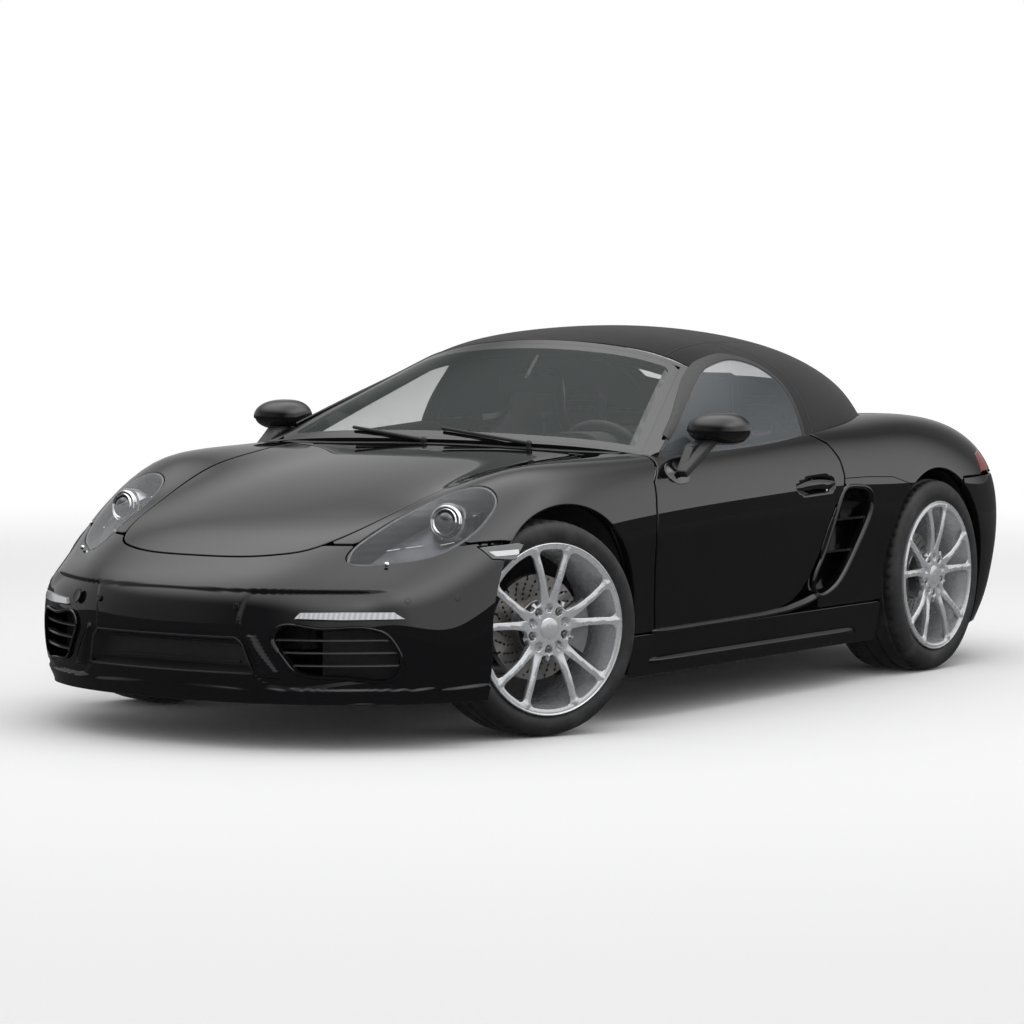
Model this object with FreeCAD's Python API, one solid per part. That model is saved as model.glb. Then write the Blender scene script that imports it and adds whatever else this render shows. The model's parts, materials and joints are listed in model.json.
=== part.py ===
import FreeCAD
import Part
import math
import os

# Open two-seat car, nose to +X, left side to +Y, standing on the floor z = 0, millimetres.
# Outlines below are given for the reference car; station(), across() and above() carry them
# to the sizes named here.

# ---- driving dimensions ----
LENGTH = 4379.0
WIDTH = 1801.0
HEIGHT = 1250.0
WHEELBASE = 2475.0
FRONT_OVERHANG = 937.5
TYRE_RADIUS_FRONT = 336.0
TYRE_RADIUS_REAR = 347.0
TYRE_WIDTH_FRONT = 235.0
TYRE_WIDTH_REAR = 265.0
RIM_RADIUS = 268.0
WHEEL_MID_FRONT = 757.0
WHEEL_MID_REAR = 766.0
HUB_FACE_OFFSET = 55.0
KINGPIN_Y = 690.0
STEER_AT_REST = -22.0
DISC_RADIUS_FRONT = 165.0
DISC_RADIUS_REAR = 150.0
DISC_THICKNESS = 28.0
BOLT_CIRCLE_RADIUS = 65.0
BOLT_HOLE_RADIUS = 7.5
HUB_BORE = 36.0
ARCH_GAP_FRONT = 46.0
ARCH_GAP_REAR = 41.0
ARCH_SETBACK_FRONT = 25.0
SHEET = 12.0
LID_THICKNESS = 18.0
QUARTER_THICKNESS = 25.0
BUMPER_THICKNESS = 8.0
PANEL_GAP = 5.0
DOOR_GAP = 7.5
ROOF_THICKNESS = 22.0
GLASS_THICKNESS = 5.0
TAIL_PIPE_RADIUS = 42.0
TAIL_PIPE_WALL = 2.0

# ---- sizes of the reference car the outlines are drawn for ----
REF_LENGTH = 4379.0
REF_WIDTH = 1801.0
REF_HEIGHT = 1250.0
REF_FRONT_AXLE = 1252.0
REF_REAR_AXLE = -1223.0

NOSE = LENGTH / 2
TAIL = -LENGTH / 2
FRONT_AXLE = NOSE - FRONT_OVERHANG
REAR_AXLE = FRONT_AXLE - WHEELBASE
SILL_BOTTOM = 140.0
FAR = 3000.0

VEC = FreeCAD.Vector
ALONG_X = VEC(1, 0, 0)
ALONG_Y = VEC(0, 1, 0)
ALONG_Z = VEC(0, 0, 1)


def station(x):
    """Length position: straight runs between tail, axles and nose."""
    knots = [(-REF_LENGTH / 2, TAIL), (REF_REAR_AXLE, REAR_AXLE), (REF_FRONT_AXLE, FRONT_AXLE),
             (REF_LENGTH / 2, NOSE)]
    for (a, p), (b, q) in zip(knots, knots[1:]):
        if x <= b or b == knots[-1][0]:
            return p + (x - a) * (q - p) / (b - a)


def across(y):
    return y * WIDTH / REF_WIDTH


def above(z):
    return z * HEIGHT / REF_HEIGHT


def at(x, y, z):
    return VEC(station(x), across(y), above(z))


# ---- plain solids ----
def box(x0, x1, y0, y1, z0, z1):
    a = at(min(x0, x1), min(y0, y1), min(z0, z1))
    b = at(max(x0, x1), max(y0, y1), max(z0, z1))
    return Part.makeBox(b.x - a.x, b.y - a.y, b.z - a.z, a)


def rod(a, b, radius):
    return Part.makeCylinder(radius, (b - a).Length, a, b - a)


def mirrored(shape):
    return shape.mirror(VEC(0, 0, 0), ALONG_Y)


def pair(shape):
    return Part.makeCompound([shape, mirrored(shape)])


def grown(points, gap):
    """Closed plane outline with each side moved outward by gap."""
    area = sum(p[0] * q[1] - q[0] * p[1] for p, q in zip(points, points[1:] + points[:1]))
    side = 1.0 if area > 0 else -1.0
    out = []
    for i, p in enumerate(points):
        before = points[i - 1]
        after = points[(i + 1) % len(points)]
        d1 = (p[0] - before[0], p[1] - before[1])
        d2 = (after[0] - p[0], after[1] - p[1])
        l1 = math.hypot(*d1)
        l2 = math.hypot(*d2)
        n1 = (side * d1[1] / l1, -side * d1[0] / l1)
        n2 = (side * d2[1] / l2, -side * d2[0] / l2)
        k = gap / max(0.35, 1.0 + n1[0] * n2[0] + n1[1] * n2[1])
        out.append((p[0] + k * (n1[0] + n2[0]), p[1] + k * (n1[1] + n2[1])))
    return out


def outline_face(corners, smooth):
    """Face inside a closed outline, straight-sided or run through by one closed spline."""
    if smooth:
        curve = Part.BSplineCurve()
        curve.interpolate(Points=corners, PeriodicFlag=True)
        wire = Part.Wire([curve.toShape()])
    else:
        wire = Part.makePolygon(corners + [corners[0]])
    return Part.Face(wire)


def along_x(points, x0, x1, smooth=False):
    a = station(x0)
    b = station(x1)
    corners = [VEC(a, across(y), above(z)) for y, z in points]
    return outline_face(corners, smooth).extrude(VEC(b - a, 0, 0))


def along_y(points, y0, y1, smooth=False):
    a = across(y0)
    b = across(y1)
    corners = [VEC(station(x), a, above(z)) for x, z in points]
    return outline_face(corners, smooth).extrude(VEC(0, b - a, 0))


def along_z(points, z0, z1, smooth=False):
    a = above(z0)
    b = above(z1)
    corners = [VEC(station(x), across(y), a) for x, y in points]
    return outline_face(corners, smooth).extrude(VEC(0, 0, b - a))


# ---- curved surfaces ----
def cubic(rows):
    """Clamped uniform cubic surface over a lattice of poles."""
    def spread(n):
        spans = n - 3
        return [i / spans for i in range(spans + 1)], [4] + [1] * (spans - 1) + [4]
    ku, mu = spread(len(rows))
    kv, mv = spread(len(rows[0]))
    skin = Part.BSplineSurface()
    skin.buildFromPolesMultsKnots(rows, mu, mv, ku, kv, False, False, 3, 3)
    return skin


def part_of(surface, u0, u1, v0, v1):
    piece = surface.copy()
    piece.segment(u0, u1, v0, v1)
    return piece


def sites(knots, mults):
    flat = [k for k, m in zip(knots, mults) for _ in range(m)]
    return [sum(flat[i + 1:i + 4]) / 3 for i in range(len(flat) - 4)]


def sunk(surface, depth, side, floor=None, drop=0.0):
    """The surface carried inward by a depth; poles on the floor end a drop below it."""
    us = sites(surface.getUKnots(), surface.getUMultiplicities())
    vs = sites(surface.getVKnots(), surface.getVMultiplicities())
    poles = surface.getPoles()
    rows = []
    for u, line in zip(us, poles):
        row = []
        for v, p in zip(vs, line):
            q = p + surface.normal(u, v) * (side * depth)
            if floor is not None and p.z < floor + 0.01:
                q.z = floor - drop
            row.append(q)
        rows.append(row)
    out = Part.BSplineSurface()
    out.buildFromPolesMultsKnots(rows, surface.getUMultiplicities(), surface.getVMultiplicities(),
                                 surface.getUKnots(), surface.getVKnots(), False, False, 3, 3)
    return out


def rims(surface):
    u0, u1, v0, v1 = surface.bounds()
    return [surface.uIso(u0), surface.uIso(u1), surface.vIso(v0), surface.vIso(v1)]


def solid_from(faces):
    shell = Part.Shell(faces)
    shell.sewShape()
    solid = Part.Solid(shell)
    if solid.Volume < 0:
        solid.reverse()
    return solid


def layer(surface, depth0, depth1, side):
    """Solid between two depths of an open surface, its edges ruled along the normals."""
    a = sunk(surface, depth0, side)
    b = sunk(surface, depth1, side)
    faces = [a.toShape(), b.toShape()]
    for c, d in zip(rims(a), rims(b)):
        faces.append(Part.makeRuledSurface(c.toShape(), d.toShape()))
    return solid_from(faces)


# ---- body skin ----
# Ribs run from tail to nose, ten poles each from the left sill to the centre line.
SB = SILL_BOTTOM
BODY_RIBS = [
    [(-1650, 815, SB), (-1760, 785, SB), (-1860, 725, SB), (-1944, 640, SB), (-2006, 545, SB),
     (-2047, 450, SB), (-2078, 345, SB), (-2099, 232, SB), (-2109, 116, SB), (-2112, 0, SB)],
    [(-1600, 840, SB), (-1740, 832, 215), (-1880, 768, 260), (-1980, 675, 280), (-2057, 570, 290),
     (-2104, 465, 300), (-2135, 352, 300), (-2155, 236, 300), (-2165, 118, 300), (-2168, 0, 300)],
    [(-1550, 845, SB), (-1690, 858, 225), (-1850, 822, 380), (-1990, 725, 440), (-2083, 600, 470),
     (-2138, 482, 485), (-2172, 362, 492), (-2192, 242, 497), (-2204, 121, 498), (-2208, 0, 498)],
    [(-1480, 848, SB), (-1610, 866, 225), (-1770, 866, 400), (-1927, 800, 565), (-2036, 665, 645),
     (-2093, 525, 675), (-2126, 385, 692), (-2147, 255, 702), (-2158, 127, 706), (-2161, 0, 707)],
    [(-1400, 850, SB), (-1510, 868, 225), (-1640, 884, 400), (-1790, 868, 590), (-1905, 785, 718),
     (-1988, 635, 790), (-2041, 475, 815), (-2070, 315, 828), (-2080, 155, 835), (-2083, 0, 837)],
    [(-1300, 850, SB), (-1380, 868, 225), (-1480, 892, 400), (-1600, 898, 590), (-1700, 855, 755),
     (-1790, 722, 848), (-1850, 565, 868), (-1880, 380, 875), (-1892, 190, 880), (-1895, 0, 882)],
    [(-1190, 850, SB), (-1240, 868, 225), (-1290, 896, 400), (-1370, 908, 595), (-1440, 888, 775),
     (-1500, 778, 900), (-1550, 625, 915), (-1570, 420, 903), (-1580, 210, 903), (-1580, 0, 903)],
    [(-1040, 848, SB), (-1060, 866, 220), (-1080, 890, 400), (-1110, 908, 592), (-1150, 898, 782),
     (-1180, 805, 922), (-1210, 645, 938), (-1230, 440, 922), (-1240, 220, 922), (-1240, 0, 922)],
    [(-850, 846, SB), (-850, 862, 218), (-850, 880, 400), (-850, 898, 590), (-850, 890, 765),
     (-850, 815, 902), (-850, 660, 925), (-850, 450, 922), (-850, 225, 922), (-850, 0, 922)],
    [(-500, 845, SB), (-500, 860, 215), (-500, 868, 400), (-500, 886, 585), (-500, 886, 750),
     (-500, 824, 888), (-500, 720, 908), (-500, 480, 915), (-500, 240, 915), (-500, 0, 915)],
    [(-150, 844, SB), (-150, 860, 215), (-150, 864, 395), (-150, 888, 580), (-150, 888, 740),
     (-150, 828, 868), (-150, 745, 885), (-150, 490, 900), (-150, 245, 902), (-150, 0, 902)],
    [(200, 843, SB), (200, 859, 213), (200, 864, 395), (200, 888, 575), (200, 886, 730),
     (200, 832, 850), (200, 750, 866), (200, 490, 885), (200, 245, 890), (200, 0, 890)],
    [(520, 842, SB), (520, 858, 213), (520, 866, 395), (520, 886, 572), (520, 882, 722),
     (520, 830, 838), (520, 745, 853), (520, 490, 866), (520, 245, 872), (520, 0, 873)],
    [(780, 840, SB), (780, 857, 213), (780, 868, 398), (780, 884, 572), (780, 880, 716),
     (780, 818, 835), (780, 705, 850), (780, 480, 833), (780, 240, 846), (780, 0, 851)],
    [(1020, 838, SB), (1020, 857, 215), (1020, 871, 400), (1020, 884, 572), (1020, 878, 716),
     (1020, 795, 836), (1020, 655, 849), (1020, 468, 800), (1020, 235, 818), (1020, 0, 825)],
    [(1252, 836, SB), (1252, 858, 216), (1252, 873, 402), (1252, 884, 570), (1252, 872, 706),
     (1252, 770, 822), (1252, 625, 840), (1252, 460, 766), (1252, 232, 786), (1252, 0, 792)],
    [(1420, 834, SB), (1420, 857, 216), (1420, 868, 402), (1415, 872, 555), (1415, 846, 658),
     (1420, 745, 745), (1435, 602, 780), (1480, 455, 721), (1490, 228, 742), (1490, 0, 748)],
    [(1530, 830, SB), (1540, 850, 214), (1555, 852, 395), (1565, 840, 525), (1570, 790, 605),
     (1580, 705, 662), (1605, 588, 694), (1675, 440, 671), (1700, 225, 692), (1700, 0, 698)],
    [(1610, 808, SB), (1650, 822, 210), (1700, 808, 380), (1725, 770, 480), (1738, 715, 530),
     (1750, 645, 562), (1775, 545, 592), (1850, 420, 624), (1880, 220, 640), (1885, 0, 643)],
    [(1680, 778, SB), (1752, 790, 205), (1838, 750, 360), (1885, 698, 440), (1908, 640, 478),
     (1926, 570, 503), (1954, 480, 530), (1994, 385, 552), (2013, 200, 562), (2016, 0, 565)],
    [(1750, 742, SB), (1855, 724, 200), (1940, 660, 340), (2000, 593, 405), (2039, 530, 432),
     (2068, 460, 455), (2095, 386, 480), (2116, 300, 497), (2133, 160, 505), (2137, 0, 506)],
    [(1825, 694, SB), (1930, 658, 190), (2023, 578, 290), (2083, 498, 340), (2117, 424, 362),
     (2144, 352, 385), (2166, 281, 405), (2183, 200, 420), (2194, 100, 427), (2197, 0, 428)],
    [(1895, 640, SB), (1989, 588, 180), (2058, 500, 220), (2107, 425, 240), (2136, 358, 250),
     (2158, 290, 260), (2173, 220, 265), (2185, 150, 268), (2192, 75, 270), (2194, 0, 270)],
    [(1960, 600, SB), (2018, 520, SB), (2062, 440, SB), (2092, 365, SB), (2112, 300, SB),
     (2126, 235, SB), (2136, 175, SB), (2142, 115, SB), (2146, 57, SB), (2147, 0, SB)],
]


def both_sides(rows):
    full = []
    for row in rows:
        left = [at(*p) for p in row]
        right = [VEC(p.x, -p.y, p.z) for p in left[-2::-1]]
        full.append(left + right)
    return full


BODY = cubic(both_sides(BODY_RIBS))
BODY_SIDE = 1.0
BODY_FLOOR = above(SILL_BOTTOM)
SHELL_DROP = 20.0


def lower_rim(surface):
    return Part.Wire(Part.__sortEdges__([c.toShape() for c in rims(surface)]))


def body_core(depth):
    """Everything inside the body skin from a depth on; open work stays clear of the underside."""
    surface = sunk(BODY, depth, BODY_SIDE, BODY_FLOOR, SHELL_DROP)
    return solid_from([surface.toShape(), Part.Face(lower_rim(surface))])


HULL = solid_from([BODY.toShape(), Part.Face(lower_rim(BODY))])
CORES = {}


def core(depth):
    if depth not in CORES:
        CORES[depth] = body_core(depth)
    return CORES[depth]


def panel(region, depth):
    """The body skin inside a region, as thick as depth."""
    return HULL.common(region).cut(core(depth))


# ---- roof and screens ----
ROOF_RIBS = [
    [(640, 812, 775), (610, 800, 835), (400, 735, 925), (180, 650, 1020), (-20, 572, 1105),
     (-25, 440, 1165), (0, 220, 1196), (15, 0, 1203)],
    [(330, 826, 785), (300, 812, 845), (130, 768, 945), (-20, 690, 1050), (-120, 590, 1135),
     (-130, 440, 1196), (-130, 220, 1228), (-130, 0, 1236)],
    [(-30, 830, 795), (-50, 818, 855), (-150, 778, 960), (-230, 705, 1065), (-280, 600, 1150),
     (-300, 440, 1208), (-320, 220, 1242), (-320, 0, 1252)],
    [(-340, 822, 805), (-350, 808, 865), (-430, 775, 960), (-500, 705, 1060), (-560, 600, 1145),
     (-590, 440, 1205), (-600, 220, 1240), (-600, 0, 1252)],
    [(-610, 795, 812), (-620, 780, 872), (-680, 750, 950), (-740, 690, 1035), (-800, 595, 1115),
     (-840, 440, 1172), (-860, 220, 1205), (-860, 0, 1215)],
    [(-850, 752, 820), (-860, 740, 880), (-900, 715, 930), (-950, 660, 1000), (-1010, 575, 1060),
     (-1070, 430, 1100), (-1100, 215, 1125), (-1105, 0, 1130)],
    [(-1010, 700, 830), (-1020, 690, 885), (-1060, 665, 915), (-1110, 610, 960),
     (-1170, 530, 1000), (-1230, 400, 1020), (-1270, 200, 1035), (-1280, 0, 1038)],
    [(-1120, 648, 830), (-1130, 640, 885), (-1180, 605, 905), (-1230, 545, 920),
     (-1300, 460, 930), (-1360, 345, 935), (-1405, 175, 938), (-1415, 0, 940)],
    [(-1150, 636, 815), (-1160, 630, 870), (-1215, 590, 870), (-1270, 530, 870),
     (-1345, 450, 870), (-1405, 335, 870), (-1450, 170, 870), (-1462, 0, 870)],
]
ROOF = cubic(both_sides(ROOF_RIBS))
ROOF_SIDE = -1.0

SCREEN_RIBS = [
    [(598, 795, 838), (613, 640, 862), (622, 330, 873), (625, 0, 876)],
    [(398, 735, 927), (435, 575, 959), (460, 300, 973), (468, 0, 977)],
    [(178, 650, 1021), (215, 495, 1066), (250, 250, 1084), (256, 0, 1090)],
    [(-18, 572, 1106), (-10, 440, 1163), (14, 220, 1194), (28, 0, 1203)],
]
SCREEN = cubic(both_sides(SCREEN_RIBS))
SCREEN_SIDE = -1.0

# ---- outlines of the panels ----
LID_HALF = [(2008, 0), (2004, 110), (1990, 200), (1960, 285), (1922, 345), (1865, 385), (1755, 425), (1588, 458),
            (1400, 492), (1200, 525), (950, 562), (800, 585), (722, 572), (690, 500), (677, 330), (672, 160)]
LAMP = [(1886, 482), (1840, 468), (1760, 475), (1670, 488), (1580, 508), (1490, 537), (1428, 578), (1398, 632),
        (1403, 689), (1430, 724), (1483, 738), (1553, 735), (1633, 712), (1711, 672), (1780, 614), (1845, 550),
        (1880, 508)]
BUMPER_SEAM = [(1490, 1000), (1490, 822), (1560, 775), (1640, 712), (1720, 655), (1800, 592), (1892, 484),
               (1915, 420), (1915, 300), (1980, 0)]
DOOR = [(606, 1000), (606, 850), (640, 812), (700, 765), (722, 690), (730, 600), (730, 500), (718, 380),
        (703, 284), (480, 284), (200, 285), (-12, 294), (-110, 304), (-194, 321), (-253, 351), (-309, 397),
        (-361, 467), (-407, 560), (-460, 635), (-520, 685), (-533, 735), (-524, 790), (-490, 843), (-428, 876),
        (-400, 892), (-400, 1000)]
SIDE_INTAKE = [(-535, 688), (-596, 696), (-672, 690), (-718, 670), (-727, 636), (-699, 568), (-636, 483),
               (-583, 417), (-517, 359), (-440, 330), (-372, 334), (-348, 362), (-390, 449), (-432, 521),
               (-470, 596), (-500, 650)]
HANDLE = [(-189, 706), (-240, 733), (-330, 746), (-420, 742), (-462, 722), (-450, 694), (-380, 678), (-290, 675),
          (-215, 687)]
WINDOW = [(580, 852), (362, 942), (180, 1022), (0, 1098), (-96, 1130), (-224, 1149), (-310, 1137), (-360, 1110),
          (-390, 1065), (-396, 1013), (-392, 940), (-387, 872), (-387, 800), (580, 800)]
REAR_LID_HALF = [(-1552, 0), (-1553, 300), (-1562, 470), (-1600, 545), (-1700, 560), (-1850, 550), (-2000, 530),
                 (-2400, 520)]
DECK_HALF = [(-1330, 0), (-1310, 300), (-1200, 520), (-1120, 600), (-1180, 640), (-1330, 640), (-1480, 600),
             (-1540, 520), (-1545, 300), (-1546, 0)]
TAIL_LAMP = [(545, 716), (556, 788), (640, 800), (740, 792), (830, 768), (905, 742), (905, 708), (700, 706)]
INTAKE_FRONT = [(374, 350), (382, 367), (500, 372), (630, 370), (656, 356), (674, 327), (688, 262), (676, 226),
                (560, 222), (462, 230), (430, 246), (400, 290)]
PLATE_FRONT = [(-262, 340), (262, 340), (284, 322), (312, 232), (-312, 232), (-284, 322)]
DRL = [(437, 402), (449, 419), (560, 421), (668, 420), (694, 400), (560, 399)]
BELT_Y = 742
SILL_TOP = 278
BUMPER_TOP_FRONT = 608
BUMPER_TOP_REAR = 690
TAIL_PANEL_Z = 702
MARKER = [(1452, 606), (1470, 612), (1592, 602), (1574, 566), (1500, 560)]
SILL_BLADE = [(735, 840), (690, 866), (560, 874), (-560, 880), (-640, 872), (-690, 842)]


def full(half):
    """Outline on both sides of the centre line from its left half."""
    return half + [(x, -y) for x, y in reversed(half) if y > 0]


# ---- wheel houses and door sweep ----
ARCH_FRONT = TYRE_RADIUS_FRONT + ARCH_GAP_FRONT
ARCH_REAR = TYRE_RADIUS_REAR + ARCH_GAP_REAR
STEER_REACH = 392.0
TUB_SIDE = 425.0
HOUSE_INNER = 560.0
KINGPIN = VEC(FRONT_AXLE, KINGPIN_Y, TYRE_RADIUS_FRONT)
HALF = WIDTH / 2 + 60.0


def arch(centre_x, radius, axle_z, inner_y):
    """Wheel opening: round over the axle, straight sides below it."""
    drum = Part.makeCylinder(radius, HALF - inner_y, VEC(centre_x, inner_y, axle_z), ALONG_Y)
    below = Part.makeBox(2 * radius, HALF - inner_y, axle_z + 50, VEC(centre_x - radius, inner_y, -50))
    return drum.fuse(below)


def steer_space(extra):
    ball = Part.makeSphere(STEER_REACH + extra, KINGPIN)
    low = Part.makeCylinder(STEER_REACH + extra, KINGPIN.z + 50, VEC(KINGPIN.x, KINGPIN.y, -50))
    near = Part.makeBox(FAR, FAR, FAR, VEC(FRONT_AXLE - FAR / 2, TUB_SIDE - extra, -FAR / 2))
    return ball.fuse(low).common(near)


ARCH_CENTRE = FRONT_AXLE - ARCH_SETBACK_FRONT
HOUSE_FRONT = arch(ARCH_CENTRE, ARCH_FRONT, TYRE_RADIUS_FRONT, KINGPIN_Y - 50).fuse(steer_space(0))
HOUSE_REAR = arch(REAR_AXLE, ARCH_REAR, TYRE_RADIUS_REAR, HOUSE_INNER)
HOUSES = Part.makeCompound([HOUSE_FRONT, mirrored(HOUSE_FRONT), HOUSE_REAR, mirrored(HOUSE_REAR)])

DOOR_HINGE = (600, 848)
HINGE_AT = at(DOOR_HINGE[0], DOOR_HINGE[1], 0)
DOOR_SWEEP = Part.makeCylinder(168, above(780) - 100, VEC(HINGE_AT.x, HINGE_AT.y, 100))
DOOR_SWEEP = DOOR_SWEEP.fuse(Part.makeCylinder(76, above(860), HINGE_AT))

RUNNING_GAP = 0.05
LID_HINGE = (735, 816)
REAR_LID_HINGE = (-1612, 868)
PIN_RADIUS = 5.0
DOOR_PIN_RADIUS = 8.0
DOOR_HINGE_HEIGHTS = (395, 650)
HINGE_ROOM = 23
LID_SWING = 90
REAR_LID_SWING = 75
LID_REACH = [(0, 0), (0, 82), (170, 79), (350, 72), (436, 67), (475, 62), (515, 56), (545, 49), (566, 41),
             (590, 34), (590, 0)]
REAR_LID_REACH = [(0, 0), (0, 74), (300, 73), (474, 67), (511, 52), (530, 46), (549, 40), (554, 37), (554, 0)]

parts = {}


def less(shape, *tools):
    for tool in tools:
        if shape.BoundBox.intersect(tool.BoundBox):
            shape = shape.cut(tool)
    return shape


def merged(first, *others):
    return first.fuse(list(others)).removeSplitter()


def kept(shape, smallest=2000.0):
    """The solids of a shape without slivers left by the seams."""
    solids = [s for s in shape.Solids if s.Volume > smallest]
    return solids[0] if len(solids) == 1 else Part.makeCompound(solids)


def lid_ears(hinge, skin, ears_y, reach, inner):
    """Ears under a lid, their pins and the swinging room round the hinge line."""
    x, z = hinge
    plate = [(x - 22, z - 12), (x + 22, z - 12), (x + reach, z + 90), (x - reach, z + 90)]
    ears = []
    pins = []
    for y in (-ears_y, ears_y):
        ears.append(along_y(plate, y - 5, y + 5).common(core(inner)))
        pins.append(rod(at(x, y - 20, z), at(x, y + 20, z), PIN_RADIUS))
    bores = [rod(at(x, y - 60, z), at(x, y + 60, z), PIN_RADIUS + RUNNING_GAP) for y in (-ears_y, ears_y)]
    return less(merged(skin, *ears), *bores), pins


def edge_room(hinge, reach):
    """Room that a lid's hinged edge sweeps: its reach turned round the hinge line."""
    x, z = hinge
    outline = [at(x, y, z) + VEC(0, 0, radius) for y, radius in reach]
    return Part.Face(Part.makePolygon(outline + outline[:1])).revolve(at(x, 0, z), ALONG_Y, 360)


# ---- regions cut from the skin ----
door_block = along_y(DOOR, BELT_Y, 1000)
door_hole = along_y(grown(DOOR, DOOR_GAP), 600, 1000)
lid_region = along_z(full(LID_HALF), 300, 1500, True)
lid_hole = along_z(grown(full(LID_HALF), PANEL_GAP), 300, 1500, True)
lamp_region = along_z(LAMP, 380, 1500, True)
lamp_hole = along_z(grown(LAMP, 2.0), 380, 1500, True)
nose_plan = BUMPER_SEAM + [(2500, 0), (2500, 1000)]
nose_low = [(1380, 1000), (1380, 600), (1980, 0), (2500, 0), (2500, 1000)]
nose_region = merged(along_z(nose_plan, 0, 1500), along_z(nose_low, 0, BUMPER_TOP_FRONT))
nose_hole = merged(along_z(grown(nose_plan, PANEL_GAP), 0, 1500),
                   along_z(grown(nose_low, PANEL_GAP), 0, BUMPER_TOP_FRONT + PANEL_GAP))
rear_lid_region = along_z(full(REAR_LID_HALF), TAIL_PANEL_Z, 1500)
rear_lid_hole = along_z(grown(full(REAR_LID_HALF), PANEL_GAP), TAIL_PANEL_Z - PANEL_GAP, 1500)
deck_region = along_z(full(DECK_HALF[::-1][:-1]), 600, 1500)
deck_hole = along_z(grown(full(DECK_HALF[::-1][:-1]), PANEL_GAP), 600, 1500)
tail_region = along_x(TAIL_LAMP, -1640, -2400)
tail_hole = along_x(grown(TAIL_LAMP, 2.0), -1638, -2400)
tail_bumper_region = box(-2500, -1440, -1000, 1000, 0, BUMPER_TOP_REAR)
CABIN_TOP = [(640, -BELT_Y), (640, BELT_Y), (-700, BELT_Y), (-900, 712), (-1050, 660), (-1120, 600),
             (-1200, 520), (-1310, 300), (-1310, -300), (-1200, -520), (-1120, -600), (-1050, -660),
             (-900, -712), (-700, -BELT_Y)]
cabin_top = along_z(CABIN_TOP, 500, 1500)

marker_region = along_y(MARKER, 600, 1000)
marker_hole = along_y(grown(MARKER, 2.0), 600, 1000)

# ---- windscreen, its frame and the door glass ----
window_left = along_y(WINDOW, 300, 1000)
window_gap = along_y(grown(WINDOW, 5.5), 300, 1000)
door_glass = layer(ROOF, 0, GLASS_THICKNESS, ROOF_SIDE).common(window_left)
glass_space = layer(ROOF, -12, 14, ROOF_SIDE).common(window_gap)
windscreen = layer(part_of(SCREEN, 0.02, 0.965, 0.03, 0.97), 0, GLASS_THICKNESS, SCREEN_SIDE)
screen_hole = layer(part_of(SCREEN, 0.07, 0.925, 0.06, 0.94), -6, 60, SCREEN_SIDE)
frame = layer(SCREEN, 0, 40, SCREEN_SIDE)
frame = less(frame, windscreen, screen_hole, glass_space, mirrored(glass_space), DOOR_SWEEP, mirrored(DOOR_SWEEP))
rear_view = at(150, 0, 1065)
stem_top = SCREEN.value(0.96, 0.5) - VEC(0, 0, 20)
mirror_body = box(120, 150, -110, 110, 1020, 1080)
stem = rod(rear_view, stem_top, 9)
frame = kept(merged(kept(frame), stem.cut(windscreen), mirror_body))
parts["windscreen"] = windscreen
parts["windscreen_frame"] = frame

# ---- soft top and rear window ----
REAR_WINDOW = [(-960, 300), (-1000, 335), (-1200, 330), (-1232, 290), (-1240, 0), (-1232, -290), (-1200, -330),
               (-1000, -335), (-960, -300), (-952, 0)]
rear_window = layer(ROOF, 4, 8, ROOF_SIDE).common(along_z(grown(REAR_WINDOW, 12), 900, 1400, True))
roof = layer(ROOF, 0, ROOF_THICKNESS, ROOF_SIDE)
pillar_corner = box(-24, 700, 470, 1000, 700, 1500)
roof = less(roof, along_z(REAR_WINDOW, 900, 1400, True), rear_window, HULL, window_gap, mirrored(window_gap),
            pillar_corner, mirrored(pillar_corner), frame)
parts["soft_top"] = kept(roof)
parts["rear_window"] = rear_window

# ---- front lid ----
EAR_Y = 400
front_lid, front_pins = lid_ears(LID_HINGE, panel(lid_region, LID_THICKNESS), EAR_Y, 40, LID_THICKNESS - 1)
parts["front_lid"] = kept(front_lid)

# ---- fenders ----
fender_zone = box(560, 2100, 0, 1000, 284, 1500)
WIPER_BAY = box(500, 668, 0, 673, 700, 1500)
fender = less(panel(fender_zone, SHEET), nose_hole, lid_hole, lamp_hole, door_hole, HOUSE_FRONT,
              WIPER_BAY, frame, DOOR_SWEEP.common(core(16)), marker_hole)
fender = kept(less(fender, edge_room(LID_HINGE, LID_REACH)))
parts["fender_left"] = fender
parts["fender_right"] = mirrored(fender)

# ---- headlamps ----
lens = panel(lamp_region, 4)
bowl = HULL.common(lamp_region).common(core(4)).cut(core(80))
hollow = along_z(grown(LAMP, -6), 0, 1500, True).common(core(4)).cut(core(74))
bowl = bowl.cut(hollow)
LAMP_AIM = VEC(0.94, 0.12, 0.32)
projector_face = at(1560, 628, 668)
barrel = rod(projector_face - LAMP_AIM * 90, projector_face, 44).common(core(10))
bowl = kept(less(merged(bowl, barrel), HOUSE_FRONT))
parts["headlamp_lenses"] = pair(lens)
parts["headlamps"] = pair(bowl)

# ---- front bumper ----
nose = HULL.common(merged(nose_region, mirrored(nose_region))).cut(core(BUMPER_THICKNESS))
nose = less(nose, lid_hole, lamp_hole, mirrored(lamp_hole), HOUSE_FRONT, mirrored(HOUSE_FRONT))
intake_hole = along_x(INTAKE_FRONT, 1700, 2400, True)
drl_hole = along_x(DRL, 1700, 2400)
PLATE_BACK = 2088
plate_tray = along_x(grown(PLATE_FRONT, 6), PLATE_BACK - 6, 2400).common(HULL)
plate_room = along_x(PLATE_FRONT, PLATE_BACK, 2400)
nose = less(merged(nose, plate_tray), plate_room, intake_hole, mirrored(intake_hole), drl_hole, mirrored(drl_hole),
            marker_hole, mirrored(marker_hole))
parts["front_bumper"] = kept(nose)
drl = HULL.common(drl_hole).cut(core(14))
parts["running_lamps"] = pair(drl)
marker = less(HULL.common(marker_region).cut(core(SHEET)), lamp_hole)
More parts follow.
